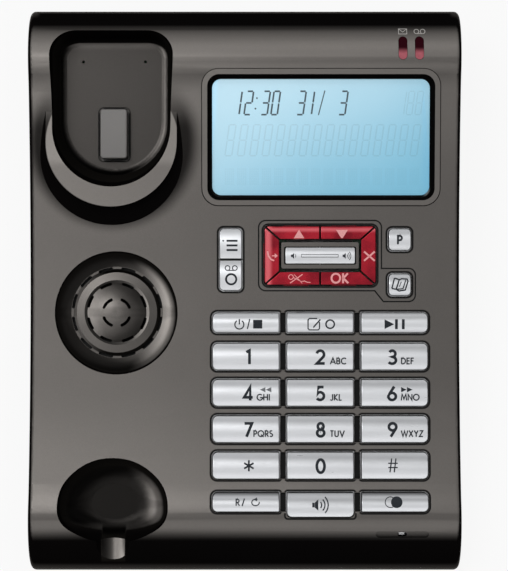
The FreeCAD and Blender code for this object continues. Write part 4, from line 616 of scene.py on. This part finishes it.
wearers = {
    "casePaint": "top_cover display_bezel volume_key_frame",
    "lowerPlastic": "bottom_cover",
    "redLacquer": "answer_key cancel_key up_key down_key erase_key ok_key",
    "hookPlastic": "hook_button",
    "windowClear": "display_window",
    "displayBlue": "lcd_panel",
    "whitePlastic": "backlight display_holder",
    "lensRed": "indicator_lenses",
    "ledEpoxy": "leds",
    "circuitBoard": "led_board main_board hook_board rear_board",
    "chipEpoxy": "board_chips",
    "keypadRubber": "keypad_mat",
    "cableFilm": "display_cable",
    "speakerSteel": "speaker_frame",
    "conePaper": "speaker_cone",
    "ferrite": "speaker_magnet",
    "springSteel": "hook_spring",
    "switchPlastic": "hook_switch",
    "canAluminium": "microphone",
    "footRubber": "microphone_boot feet",
    "steelScrew": "inner_screws cover_screws",
    "socketPlastic": "line_jack power_jack handset_jack",
}
nodeFinish = {name: wear for wear, names in wearers.items() for name in names.split()}
for nodeName, nodeObject in nodes.items():
    nodeObject.data.materials.clear()
    nodeObject.data.materials.append(finishes[nodeFinish.get(nodeName, "silverPaint")])
print("node finishes set")

hookCoil = {"shorter": 0.0046}  # the button's travel and a little more


def makeHookCoil():  # a copy of the spring's coil, fixed to the base; nothing here shortens it as the hook button goes down
    coil = addObject("hook_coil", nodes["hook_spring"].data.copy())
    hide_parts("hook_spring")
    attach(coil, "base")
    points = sorted((vertex.co.dot(panelUp), tuple(vertex.co)) for vertex in coil.data.vertices)
    length = points[-1][0] - points[0][0]
    1 - hookCoil["shorter"] / length
    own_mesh(coil)


makeHookCoil()
print("hook coil set")


# Printed legends: strokes and filled shapes drawn in panel millimetres, laid on the surface below
def bend(x, v, reachX, reachV, start, end, steps=0):  # points on an arc, angles in degrees
    steps = steps or max(3, int(abs(end - start) / 15))
    points = []
    for number in range(steps + 1):
        angle = math.radians(start + (end - start) * number / steps)
        points.append((x + reachX * math.cos(angle), v + reachV * math.sin(angle)))
    return points


def arc(x, v, radius, start, end, steps=0):
    return bend(x, v, radius, radius, start, end, steps)


def circle(x, v, radius, steps):
    return arc(x, v, radius, 0, 360 - 360 / steps, steps - 1)


def ribbon(points, width, closed=False):  # faces of a flat band along the points
    count = len(points)
    sides = []
    for number in range(count):
        here = Vector(points[number])
        before = Vector(points[number - 1]) if number or closed else None
        after = Vector(points[(number + 1) % count]) if number < count - 1 or closed else None
        into = (here - before).normalized() if before is not None else (after - here).normalized()
        out = (after - here).normalized() if after is not None else into
        lean = into + out
        lean = lean.normalized() if lean.length > 0.01 else into
        across = Vector((-lean.y, lean.x))
        square = Vector((-into.y, into.x))
        reach = width / 2 / max(0.35, across.dot(square))
        sides.append((here + across * reach, here - across * reach))
    faces = []
    for number in range(count if closed else count - 1):
        first, second = sides[number], sides[(number + 1) % count]
        faces.append([first[0], first[1], second[1], second[0]])
    return faces


def disc(x, v, radius, steps=28):
    return [[Vector(point) for point in circle(x, v, radius, steps)]]


def polygon(*points):
    return [[Vector(point) for point in points]]


def rectangle(x0, x1, v0, v1):
    return polygon((x0, v0), (x1, v0), (x1, v1), (x0, v1))


surfaceTrees = {}


def surfaceTree(name):
    if name not in surfaceTrees:
        mesh = nodes[name].data
        surfaceTrees[name] = BVHTree.FromPolygons([vertex.co for vertex in mesh.vertices],
                                                  [list(face.vertices) for face in mesh.polygons])
    return surfaceTrees[name]


# Thin pieces follow the surface: long edges are split, and what misses or falls off it is left out
laying = {"joined": 0.0005, "longest": 0.7, "splits": 3, "from": 40, "fall": 0.001}


def lay(name, node, body, faces, finish, lift=0.035, fromCamera=False):
    look = laying
    bm = bmesh.new()
    for corners in faces:
        bm.faces.new([bm.verts.new((corner.x, corner.y, 0)) for corner in corners])
    bmesh.ops.remove_doubles(bm, verts=bm.verts, dist=look["joined"])
    bmesh.ops.triangulate(bm, faces=[face for face in bm.faces if len(face.verts) > 4])
    for _ in range(look["splits"]):
        longEdges = [edge for edge in bm.edges if edge.calc_length() > look["longest"]]
        if longEdges:
            bmesh.ops.subdivide_edges(bm, edges=longEdges, cuts=1, use_grid_fill=True)
    tree = surfaceTree(node)
    lost = []
    for vertex in bm.verts:
        x, v = vertex.co.x, vertex.co.y
        above = onPanel(x, v, look["from"])
        toward = -panelUp
        if fromCamera:
            toward = (onPanel(x, v) - camera.location).normalized()
            above = onPanel(x, v) - toward * (look["from"] / 1000)
        hit = tree.ray_cast(above, toward)[0]
        if hit is None:
            lost.append(vertex)
            hit = onPanel(x, v)
        vertex.co = hit + panelUp * (lift / 1000)
    bmesh.ops.delete(bm, geom=lost, context="VERTS")
    falls = [edge for edge in bm.edges
             if abs((edge.verts[0].co - edge.verts[1].co).dot(panelUp)) > look["fall"]]
    bmesh.ops.delete(bm, geom=falls, context="EDGES")
    bmesh.ops.recalc_face_normals(bm, faces=bm.faces)
    bm.normal_update()
    if sum(face.normal.dot(panelUp) for face in bm.faces) < 0:
        bmesh.ops.reverse_faces(bm, faces=bm.faces)
    mesh = bpy.data.meshes.new(name)
    bm.to_mesh(mesh)
    bm.free()
    mesh.materials.append(finishes[finish])
    piece = addObject(name, mesh)
    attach(piece, body)
    if lost or falls:
        print("piece", name, "is open at", len(lost), "points and", len(falls), "edges")
    return piece


def printOn(key, faces):  # pink on the red ring, dark on the silver keys
    ink, slot = "inkDark", "silver_plastic"
    if nodeFinish.get(key) == "redLacquer":
        ink, slot = "inkPink", "red_plastic"
    lay("legend_" + key, key, key, faces, ink)


# Letters and digits as pen strokes in a box one unit high; each has its width, two are closed
closedLetters = "0O"
letterShapes = {
    "0": (0.62, [bend(0.31, 0.5, 0.27, 0.46, 0, 345, 23)]),
    "1": (0.36, [[(0.04, 0.84), (0.27, 0.96), (0.27, 0.0)]]),
    "2": (0.62, [bend(0.31, 0.68, 0.26, 0.27, 165, -38) + [(0.07, 0.05), (0.62, 0.05)]]),
    "3": (0.6, [bend(0.29, 0.73, 0.22, 0.22, 150, -90) + bend(0.28, 0.27, 0.27, 0.24, 90, -150)]),
    "4": (0.66, [[(0.64, 0.22), (0.04, 0.22), (0.46, 0.95), (0.46, 0.0)]]),
    "5": (0.6, [[(0.52, 0.94), (0.17, 0.94), (0.1, 0.5)]
                + bend(0.27, 0.31, 0.27, 0.27, 125, -145)]),
    "6": (0.62, [[(0.46, 0.98), (0.12, 0.46)] + bend(0.31, 0.28, 0.26, 0.25, 150, -200)]),
    "7": (0.58, [[(0.02, 0.94), (0.54, 0.94), (0.16, 0.0)]]),
    "8": (0.6, [bend(0.3, 0.73, 0.2, 0.22, -90, 270) + bend(0.3, 0.27, 0.25, 0.24, 90, -270)]),
    "9": (0.62, [[(0.18, 0.0), (0.5, 0.52)] + bend(0.31, 0.7, 0.26, 0.25, -30, 320)]),
    "A": (0.86, [[(0.03, 0.0), (0.43, 0.97), (0.83, 0.0)], [(0.2, 0.32), (0.66, 0.32)]]),
    "B": (0.6, [[(0.07, 0.05), (0.07, 0.95), (0.3, 0.95)] + bend(0.3, 0.73, 0.2, 0.22, 90, -90)
                + [(0.07, 0.51)], [(0.3, 0.51)] + bend(0.3, 0.28, 0.24, 0.23, 90, -90)
                + [(0.07, 0.05)]]),
    "C": (0.86, [bend(0.5, 0.5, 0.44, 0.46, 48, 312)]),
    "D": (0.74, [[(0.07, 0.05), (0.07, 0.95), (0.26, 0.95)]
                 + bend(0.26, 0.5, 0.42, 0.45, 90, -90) + [(0.07, 0.05)]]),
    "E": (0.52, [[(0.5, 0.95), (0.07, 0.95), (0.07, 0.05), (0.5, 0.05)],
                 [(0.07, 0.52), (0.46, 0.52)]]),
    "F": (0.5, [[(0.48, 0.95), (0.07, 0.95), (0.07, 0.0)], [(0.07, 0.52), (0.44, 0.52)]]),
    "G": (0.9, [bend(0.5, 0.5, 0.44, 0.46, 48, 352) + [(0.52, 0.44)]]),
    "H": (0.72, [[(0.07, 0.0), (0.07, 1.0)], [(0.64, 0.0), (0.64, 1.0)],
                 [(0.07, 0.52), (0.64, 0.52)]]),
    "I": (0.16, [[(0.07, 0.0), (0.07, 1.0)]]),
    "J": (0.46, [bend(0.2, 0.22, 0.17, 0.19, 200, 360) + [(0.37, 1.0)]]),
    "K": (0.64, [[(0.07, 0.0), (0.07, 1.0)], [(0.56, 1.0), (0.1, 0.5), (0.6, 0.0)]]),
    "L": (0.46, [[(0.07, 1.0), (0.07, 0.05), (0.45, 0.05)]]),
    "M": (0.94, [[(0.05, 0.0), (0.17, 0.98), (0.47, 0.22), (0.77, 0.98), (0.89, 0.0)]]),
    "N": (0.74, [[(0.07, 0.0), (0.07, 0.95), (0.66, 0.05), (0.66, 1.0)]]),
    "O": (0.96, [bend(0.48, 0.5, 0.44, 0.46, 0, 345, 23)]),
    "P": (0.56, [[(0.07, 0.0), (0.07, 0.95), (0.26, 0.95)]
                 + bend(0.26, 0.7, 0.24, 0.25, 90, -90) + [(0.07, 0.45)]]),
    "Q": (0.98, [bend(0.48, 0.5, 0.44, 0.46, -40, 320, 24), [(0.5, 0.34), (0.92, -0.02)]]),
    "R": (0.6, [[(0.07, 0.0), (0.07, 0.95), (0.26, 0.95)]
                + bend(0.26, 0.71, 0.23, 0.24, 90, -90) + [(0.07, 0.47)],
                [(0.26, 0.47), (0.56, 0.0)]]),
    "S": (0.54, [bend(0.27, 0.74, 0.2, 0.21, 40, 250) + bend(0.26, 0.27, 0.22, 0.22, 75, -140)]),
    "T": (0.54, [[(0.0, 0.95), (0.52, 0.95)], [(0.26, 0.95), (0.26, 0.0)]]),
    "U": (0.68, [[(0.07, 1.0)] + bend(0.33, 0.31, 0.26, 0.27, 180, 360) + [(0.59, 1.0)]]),
    "V": (0.8, [[(0.03, 1.0), (0.39, 0.05), (0.75, 1.0)]]),
    "W": (1.1, [[(0.03, 1.0), (0.3, 0.05), (0.54, 0.9), (0.78, 0.05), (1.05, 1.0)]]),
    "X": (0.7, [[(0.04, 1.0), (0.62, 0.0)], [(0.62, 1.0), (0.04, 0.0)]]),
    "Y": (0.68, [[(0.03, 1.0), (0.33, 0.48), (0.63, 1.0)], [(0.33, 0.48), (0.33, 0.0)]]),
    "Z": (0.62, [[(0.05, 0.95), (0.56, 0.95), (0.04, 0.05), (0.6, 0.05)]]),
    "/": (0.42, [[(0.0, -0.05), (0.34, 1.05)]]),
}


def write(text, x, v, height, stroke, spacing=0.12):  # x and v of the lower left
    faces = []
    for letter in text:
        width, strokes = letterShapes[letter]
        for points in strokes:
            placed = [(x + px * height, v + pv * height) for px, pv in points]
            faces += ribbon(placed, stroke, letter in closedLetters)
        x += (width + spacing) * height
    return faces


def ring(x, v, radius, stroke, steps=28):
    return ribbon(circle(x, v, radius, steps), stroke, True)


def tapeSign(x, v, radius, spread, stroke):
    return (ring(x - spread, v, radius, stroke, 18) + ring(x + spread, v, radius, stroke, 18)
            + ribbon([(x - spread, v - radius), (x + spread, v - radius)], stroke))


# Painted shade on the cover: dark bands in the gaps round the keys, bars between them and a dark
# line along the groove round the ring
gapLook = {
    "keyGap": 0.4, "clear": 0.06, "band": 0.7, "capRise": 1.9, "innerCorner": 0.35,
    "endCorner": 1.9, "sideKeyCorner": 1.5, "hookCorner": 1.2, "ringCorner": 1.7,
    "barLift": 0.03, "lineLift": 0.04,
}
# The groove keeps a margin to the ring, bulges round the book key and slants in at the front right
grooveLook = {"width": 0.55, "margin": 2.3, "corner": 2.8, "bulgeCorner": 2.6, "pastBook": 1.9,
              "beforeBook": 2.4, "behindBook": 2.2, "slantStart": 0.8, "slantEnd": -2.7}
keypadRows = (("stop_key", "memo_key", "play_key"), ("key_1", "key_2", "key_3"),
              ("key_4", "key_5", "key_6"), ("key_7", "key_8", "key_9"),
              ("key_star", "key_0", "key_hash"), ("recall_key", "handsfree_key", "mute_key"))


def capBox(name):  # panel box of the part of a key that shows, in millimetres
    start = onPanel(0, 0)
    points = [(vertex.co - start) * 1000 for vertex in nodes[name].data.vertices]
    top = max(point.dot(panelUp) for point in points)
    shown = [point for point in points if point.dot(panelUp) > top - gapLook["capRise"]]
    across = [point.x for point in shown]
    along = [point.dot(panelBack) for point in shown]
    return min(across), max(across), min(along), max(along)


def loop(x0, x1, v0, v1, corners):  # a closed outline; corner radii from back left, clockwise
    backLeft, backRight, frontRight, frontLeft = corners
    return (arc(x0 + backLeft, v1 - backLeft, backLeft, 180, 90)
            + arc(x1 - backRight, v1 - backRight, backRight, 90, 0)
            + arc(x1 - frontRight, v0 + frontRight, frontRight, 0, -90)
            + arc(x0 + frontLeft, v0 + frontLeft, frontLeft, -90, -180))


def groovePath(left, right, front, back):
    look = grooveLook
    x0, x1 = left - look["margin"], right + look["margin"]
    v0, v1 = front - look["margin"], back + look["margin"]
    book = capBox("phonebook_key")
    x2 = book[1] + look["pastBook"]
    v2, v3 = book[2] - look["beforeBook"], book[3] + look["behindBook"]
    large, small = look["corner"], look["bulgeCorner"]
    return (arc(x0 + large, v1 - large, large, 180, 90) + arc(x1 - large, v1 - large, large, 90, 0)
            + [(x1, v3)] + arc(x2 - small, v3 - small, small, 90, 0)
            + arc(x2 - small, v2 + small, small, 0, -90)
            + [(x1 + look["slantStart"], v2), (x1 + look["slantEnd"], v0)]
            + arc(x0 + large, v0 + large, large, -90, -180))


def paintGapShade():
    look = gapLook
    gap = look["keyGap"]
    reach = gap + look["clear"] + look["band"] / 2

    def band(x0, x1, v0, v1, corners):
        path = loop(x0 - reach, x1 + reach, v0 - reach, v1 + reach,
                    [look[corner] + reach for corner in corners])
        return ribbon(path, look["band"], True)

    inner, end = "innerCorner", "endCorner"
    sides = ((end, inner, inner, end), (inner,) * 4, (inner, end, end, inner))
    keys = [("program_key", ("sideKeyCorner",) * 4), ("phonebook_key", ("sideKeyCorner",) * 4),
            ("hook_button", ("hookCorner",) * 4)]
    bars = []
    for row in keypadRows:
        keys += list(zip(row, sides))
        boxes = [capBox(name) for name in row]
        for first, second in zip(boxes, boxes[1:]):
            low = max(first[2], second[2]) - gap
            high = min(first[3], second[3]) + gap
            left = first[1] + gap + look["clear"]
            right = second[0] - gap - look["clear"]
            bars += rectangle(left, right, low, high)
    bands = []
    for name, corners in keys:
        bands += band(*capBox(name), corners)
    upper, lower = capBox("menu_key"), capBox("tape_key")
    bands += band(upper[0], upper[1], lower[2], upper[3], ("sideKeyCorner",) * 4)
    edges = (capBox("answer_key")[0], capBox("cancel_key")[1],
             capBox("ok_key")[2], capBox("up_key")[3])
    around = band(*edges, ("ringCorner",) * 4)
    around += ribbon(groovePath(*edges), grooveLook["width"], True)
    # The bands, bars and groove line are dark sheets of painted shade
    for name, faces, lift in (("gap_shade_bars", bars, look["barLift"]),
                              ("gap_shade_outlines", bands, look["lineLift"]),
                              ("ring_shade_outlines", around, look["lineLift"])):
        lay(name, "top_cover", "base", faces, "gapBlack", lift)


paintGapShade()

# Digit keys: number at the column's mark, letters to its right on the same line
digitKeys = {
    "numberHeight": 5.7,
    "numberStroke": 1.12,
    "letterHeight": 2.55,
    "letterStroke": 0.5,
    "baseBelowMiddle": 3.0,
    "rows": {84.9: "123", 70.4: "456", 55.9: "789", 41.4: "0"},
    "numberX": {"1": 0.35, "2": 28.5, "3": 57.4, "4": -0.45, "5": 28.6, "6": 57.2, "7": -0.2,
                "8": 28.65, "9": 57.35, "0": 28.55},
    "letters": {"2": ("ABC", 34.2, 0.12), "3": ("DEF", 62.6, 0.12), "4": ("GHI", 4.8, 0.14),
                "5": ("JKL", 34.2, 0.12), "6": ("MNO", 62.5, 0.12), "7": ("PQRS", 3.5, 0.12),
                "8": ("TUV", 34.2, 0.12), "9": ("WXYZ", 62.5, 0.12)},
}
# Skip marks on two of them: key, left end, which way, ink
skipMarks = {
    "marks": (("key_4", 6.05, "left", "inkGray"), ("key_6", 62.55, "right", "inkDark")),
    "pitch": 2.35, "length": 2.25, "v": 71.7, "half": 1.05,
}


def printDigitKeys():
    look = digitKeys
    for rowV, digits in look["rows"].items():
        base = rowV - look["baseBelowMiddle"]
        for digit in digits:
            faces = write(digit, look["numberX"][digit], base, look["numberHeight"],
                          look["numberStroke"])
            if digit in look["letters"]:
                text, x, spacing = look["letters"][digit]
                faces += write(text, x, base, look["letterHeight"], look["letterStroke"], spacing)
            printOn("key_" + digit, faces)
    look = skipMarks
    v, half = look["v"], look["half"]
    for name, x, way, ink in look["marks"]:
        faces = []
        for start in (x, x + look["pitch"]):
            ends = (start, start + look["length"])
            foot, tip = ends if way == "right" else reversed(ends)
            faces += polygon((foot, v - half), (tip, v), (foot, v + half))
        lay("skip_mark_" + name, name, name, faces, ink)


printDigitKeys()

starLook = {"x": 1.65, "v": 41.4, "reach": 2.2, "stroke": 0.72}
hashLook = {"x": 59.2, "v": 41.55, "apart": 0.85, "half": (1.9, 2.75), "lean": 0.35, "stroke": 0.5}


def printStarAndHash():
    look = starLook
    star = []
    middle = Vector((look["x"], look["v"]))
    for angle in (90, 150, 210):
        turn = math.radians(angle)
        reach = Vector((math.cos(turn), math.sin(turn))) * look["reach"]
        star += ribbon([middle - reach, middle + reach], look["stroke"])
    printOn("key_star", star)
    look = hashLook
    x, v, stroke, lean = look["x"], look["v"], look["stroke"], look["lean"]
    wide, high = look["half"]
    gate = []
    for offset in (-look["apart"], look["apart"]):
        gate += ribbon([(x + offset - lean, v - high), (x + offset + lean, v + high)], stroke)
        gate += ribbon([(x - wide, v + offset), (x + wide, v + offset)], stroke)
    printOn("key_hash", gate)


printStarAndHash()


def speakerSign(x, v, size, waves, stroke):  # a loudspeaker with sound waves to its right
    faces = rectangle(x, x + 0.32 * size, v - 0.3 * size, v + 0.3 * size)
    faces += polygon((x + 0.34 * size, v - 0.32 * size), (x + 0.78 * size, v - 0.72 * size),
                     (x + 0.78 * size, v + 0.72 * size), (x + 0.34 * size, v + 0.32 * size))
    for number in range(waves):
        reach = size * (0.5 + 0.42 * number)
        faces += ribbon(bend(x + 0.72 * size, v, reach, reach * 1.06, -46, 46), stroke)
    return faces


def printFunctionKeys():
    v = 97.9
    stop = ribbon(bend(-2.17, v - 0.15, 1.8, 1.8, 122, 418), 0.5)
    stop += ribbon([(-2.17, v - 0.1), (-2.17, v + 2.1)], 0.5)
    stop += ribbon([(1.05, v - 1.95), (2.0, v + 2.1)], 0.46)
    stop += rectangle(3.35, 7.0, v - 1.75, v + 1.75)
    printOn("stop_key", stop)
    memo = ribbon([(29.0, v + 2.3), (25.9, v + 2.3), (25.35, v + 1.75), (25.35, v - 1.75),
                   (25.9, v - 2.3), (29.4, v - 2.3), (29.95, v - 1.75), (29.95, v + 0.9)], 0.46)
    memo += ribbon([(27.7, v - 1.0), (30.3, v + 1.9)], 0.55)
    memo += polygon((27.35, v - 1.6), (28.0, v - 1.2), (27.5, v - 0.75))
    memo += ring(34.2, v, 1.68, 0.62)
    printOn("memo_key", memo)
    play = polygon((56.0, v - 1.95), (59.85, v), (56.0, v + 1.95))
    for left in (60.2, 62.95):
        play += rectangle(left, left + 1.1, v - 2.0, v + 2.0)
    printOn("play_key", play)


printFunctionKeys()


def printServiceKeys():
    redial = write("R/", -3.6, 25.6, 2.7, 0.5, 0.35)
    redial += ribbon(bend(4.3, 26.9, 1.5, 1.25, 60, 372), 0.42)
    redial += polygon((4.9, 28.9), (4.9, 27.3), (3.55, 28.1))
    printOn("recall_key", redial)
    printOn("handsfree_key", speakerSign(26.9, 25.9, 3.1, 3, 0.5))
    mute = ring(58.1, 27.0, 2.1, 0.34) + disc(60.6, 27.0, 2.3)
    printOn("mute_key", mute)


printServiceKeys()


def printSideKeys():
    menu = disc(-8.65, 131.3, 0.35, 12)
    for v in (131.3, 129.45, 127.6):
        menu += ribbon([(-7.3, v), (-2.9, v)], 0.8)
    printOn("menu_key", menu)
    tape = tapeSign(-5.45, 120.4, 0.95, 1.45, 0.4) + ring(-5.45, 115.9, 2.05, 0.8)
    printOn("tape_key", tape)
    printOn("program_key", write("P", 61.1, 129.9, 3.6, 0.8))
    book = ribbon([(60.0, 116.4), (61.9, 115.7), (62.9, 116.1), (65.0, 116.0), (65.4, 115.2),
                   (64.3, 111.6), (61.8, 111.2), (60.6, 111.9), (58.9, 112.2)], 0.55)
    book += ribbon([(60.0, 116.4), (58.9, 112.2)], 0.55)
    book += ribbon([(61.9, 115.7), (60.7, 112.0)], 0.55)
    book += ribbon([(64.5, 115.6), (63.4, 112.1), (61.0, 111.9)], 0.46)
    book += ribbon([(62.7, 114.9), (61.9, 112.9)], 0.34)
    printOn("phonebook_key", book)


printSideKeys()


def printRing():
    up = polygon((19.4, 131.95), (24.1, 131.95), (21.75, 135.8))
    down = polygon((36.6, 135.7), (38.95, 131.9), (41.3, 135.7))
    printOn("up_key", up)
    printOn("down_key", down)
    printOn("ok_key", write("OK", 34.6, 114.35, 3.95, 0.78, 0.18))
    cross = ribbon([(47.8, 127.0), (52.1, 123.3)], 0.72)
    cross += ribbon([(52.1, 127.0), (47.8, 123.3)], 0.72)
    printOn("cancel_key", cross)
    answer = ribbon([(9.1, 127.1), (9.5, 125.2), (10.6, 123.8), (11.8, 123.4)], 0.62)
    answer += ribbon([(10.9, 125.3), (12.1, 125.3)], 0.45)
    answer += polygon((12.0, 124.3), (13.3, 125.3), (12.0, 126.3))
    printOn("answer_key", answer)
    erase = ring(18.5, 116.8, 0.95, 0.3, 16)
    erase += ribbon([(19.4, 116.6), (21.0, 115.9), (22.6, 115.0), (24.0, 115.2), (25.1, 114.7),
                     (26.3, 114.6)], 0.32)
    erase += ribbon([(18.2, 114.4), (23.2, 117.9)], 0.4)
    erase += ribbon([(19.8, 117.8), (23.0, 114.3)], 0.26)
    printOn("erase_key", erase)


printRing()


def printRocker():
    marks = speakerSign(18.5, 125.25, 1.6, 1, 0.24)
    marks += speakerSign(39.2, 125.25, 1.6, 3, 0.26)
    for v in (125.85, 124.75):
        marks += ribbon([(22.65, v), (37.5, v)], 0.22)
    for x in (22.7, 37.45):
        marks += ribbon([(x, 124.7), (x, 125.9)], 0.18)
    printOn("volume_rocker", marks)


printRocker()


def printIndicatorMarks():
    letter = ribbon([(61.6, 214.1), (64.9, 214.1), (64.9, 216.3), (61.6, 216.3)], 0.26, True)
    letter += ribbon([(61.7, 216.2), (63.25, 214.95), (64.8, 216.2)], 0.24)
    letter += tapeSign(70.0, 215.2, 0.95, 1.25, 0.28)
    lay("indicator_marks", "top_cover", "base", letter, "inkPale")


printIndicatorMarks()
print("legends printed")

# Display cells, drawn where the photograph shows them and laid on the glass
cell = {
    "slant": 0.14,
    "gap": 0.22,
    "stroke": 0.66,
    "height": 10.0,
    "widths": {"1": 2.9, "other": 2.55},
    "digits": (("1", -5.2), ("2", -0.3), ("3", 6.4), ("0", 10.45), ("3", 20.75), ("1", 23.75),
               ("3", 37.5)),
    "clockV": 181.4,
    "colonX": 3.95,
    "colonRises": (2.4, 6.6),
    "colonRadius": 0.36,
    "slashX": (29.45, 32.05),
    "slashPast": (0.2, 0.3),
    "slashStroke": 0.42,
}
idleCell = {
    "small": (("1", 61.2), ("8", 64.5), ("8", 68.0)), "smallWidth": 2.3, "smallStroke": 0.45,
    "count": 16, "left": -7.9, "pitch": 4.93, "v": 165.3, "height": 12.4, "width": 2.7,
    "stroke": 0.55,
}
dotCell = {"columns": 5, "rows": 7, "left": -0.1, "v": 153.6, "pitchX": 0.78, "pitchV": 6.9 / 7,
           "width": 0.6, "height": 0.8}
segmentsOf = {"0": "abcdef", "1": "bc", "2": "abged", "3": "abgcd", "8": "abcdefg"}


def sevenSegments(digit, x, v, width, height, stroke):
    half = height / 2
    gap = cell["gap"]
    lines = {
        "a": [(gap, height), (width - gap, height)],
        "b": [(width, height - gap), (width, half + gap)],
        "c": [(width, half - gap), (width, gap)],
        "d": [(gap, 0), (width - gap, 0)],
        "e": [(0, half - gap), (0, gap)],
        "f": [(0, height - gap), (0, half + gap)],
        "g": [(gap, half), (width - gap, half)],
    }
    faces = []
    for letter in segmentsOf[digit]:
        slanted = [(x + px + pv * cell["slant"], v + pv) for px, pv in lines[letter]]
        faces += ribbon(slanted, stroke)
    return faces


def makeDisplayCells():
    look = cell
    v = look["clockV"] + look["stroke"] / 2
    height = look["height"] - look["stroke"]
    shown = []
    for digit, x in look["digits"]:
        width = look["widths"].get(digit, look["widths"]["other"])
        shown += sevenSegments(digit, x, v, width, height, look["stroke"])
    for rise in look["colonRises"]:
        shown += disc(look["colonX"] + rise * look["slant"], v + rise, look["colonRadius"], 10)
    (left, right), (below, above) = look["slashX"], look["slashPast"]
    shown += ribbon([(left, v - below), (right, v + height + above)], look["slashStroke"])
    lay("display_digits", "lcd_panel", "base", shown, "cellOn", 0.05, True)
    ghosts = []
    dots = []
    look = idleCell
    for digit, x in look["small"]:
        ghosts += sevenSegments(digit, x, v, look["smallWidth"], height, look["smallStroke"])
    for number in range(look["count"]):
        x = look["left"] + number * look["pitch"]
        ghosts += sevenSegments("8", x, look["v"], look["width"], look["height"], look["stroke"])
        dots += dotMatrix(x)
    lay("display_idle_cells", "lcd_panel", "base", ghosts, "cellOff", 0.03, True)
    lay("display_dots", "lcd_panel", "base", dots, "cellDots", 0.03, True)


def dotMatrix(x):
    look = dotCell
    faces = []
    for column in range(look["columns"]):
        left = x + look["left"] + column * look["pitchX"]
        right = left + look["width"]
        for row in range(look["rows"]):
            low = look["v"] + row * look["pitchV"]
            high = low + look["height"]
            faces += rectangle(left, right, low, high)
    return faces


makeDisplayCells()
print("display drawn")


# Floor, backdrop light and lamps
stageLook = {
    "floorSize": 8.0, "floorColor": (0.8, 0.8, 0.8), "seenWhite": 0.9, "seenSky": 0.95,
    "ambient": 0.3,
}


def seenRays(finish):  # 1 for rays to the camera, off gloss and through glass
    path = finish.node("LightPath").outputs
    view, gloss, glass = (Value(finish, path[f"Is {kind} Ray"])
                          for kind in ("Camera", "Glossy", "Transmission"))
    return view.sum("MAXIMUM", view.sum("MAXIMUM", view, gloss), glass)


def makeStage():
    half = stageLook["floorSize"] / 2
    mesh = bpy.data.meshes.new("floor")
    mesh.from_pydata([(-half, -half, 0), (half, -half, 0), (half, half, 0), (-half, half, 0)],
                     [], [(0, 1, 2, 3)])
    floor = addObject("floor", mesh)
    finish = Finish("floorWhite")
    seen = seenRays(finish)
    matt = finish.node("BsdfDiffuse", {}, {"Color": stageLook["floorColor"]})
    white = finish.node("Emission", {}, {"Color": (1, 1, 1), "Strength": 1.0})
    mixed = finish.node("MixShader", {}, {
        0: seen * stageLook["seenWhite"], 1: matt.outputs[0],
        2: white.outputs[0]})
    output = finish.node("OutputMaterial")
    finish.tree.links.new(mixed.outputs[0], output.inputs["Surface"])
    mesh.materials.append(finish.material)


makeStage()


def makeWorld():
    world = bpy.data.worlds.new("studio")
    world.use_nodes = True
    sky = Finish(None, world.node_tree)
    dim = sky.node("Background", {}, {"Color": (1, 1, 1), "Strength": stageLook["ambient"]})
    white = sky.node("Background", {}, {"Color": (1, 1, 1), "Strength": stageLook["seenSky"]})
    mixed = sky.node("MixShader", {}, {0: seenRays(sky), 1: dim.outputs[0], 2: white.outputs[0]})
    sky.feed(sky.node("OutputWorld").inputs["Surface"], mixed.outputs[0])
    bpy.context.scene.world = world


makeWorld()

lamps = {
    "keyLamp": {"lean": 6.0, "turn": 17.0, "away": 1.6, "size": (0.5, 0.6), "watts": 7.0},
    "backLamp": {"lean": 32.0, "turn": 0.0, "away": 1.3, "size": (1.6, 0.35), "watts": 2.5},
    "frontLamp": {"lean": -44.0, "turn": 0.0, "away": 1.3, "size": (1.6, 0.35), "watts": 2.0},
}


def makeLamps():
    aim = Vector((0, 0, 0.03))
    for name, look in lamps.items():
        data = bpy.data.lights.new(name, "AREA")
        data.shape = "RECTANGLE"
        data.size, data.size_y = look["size"]
        data.energy = look["watts"]
        lamp = addObject(name, data)
        lean = math.radians(look["lean"])
        turn = math.radians(look["turn"])
        toward = Vector((-math.sin(turn), math.sin(lean) * math.cos(turn),
                         math.cos(lean) * math.cos(turn)))
        lamp.location = aim + toward * look["away"]
        lamp.rotation_mode = "QUATERNION"
        lamp.rotation_quaternion = toward.to_track_quat("Z", "Y")
        lamp.visible_camera = False


makeLamps()
bpy.context.scene.view_settings.view_transform = "Standard"
print("stage, lamps and camera set")
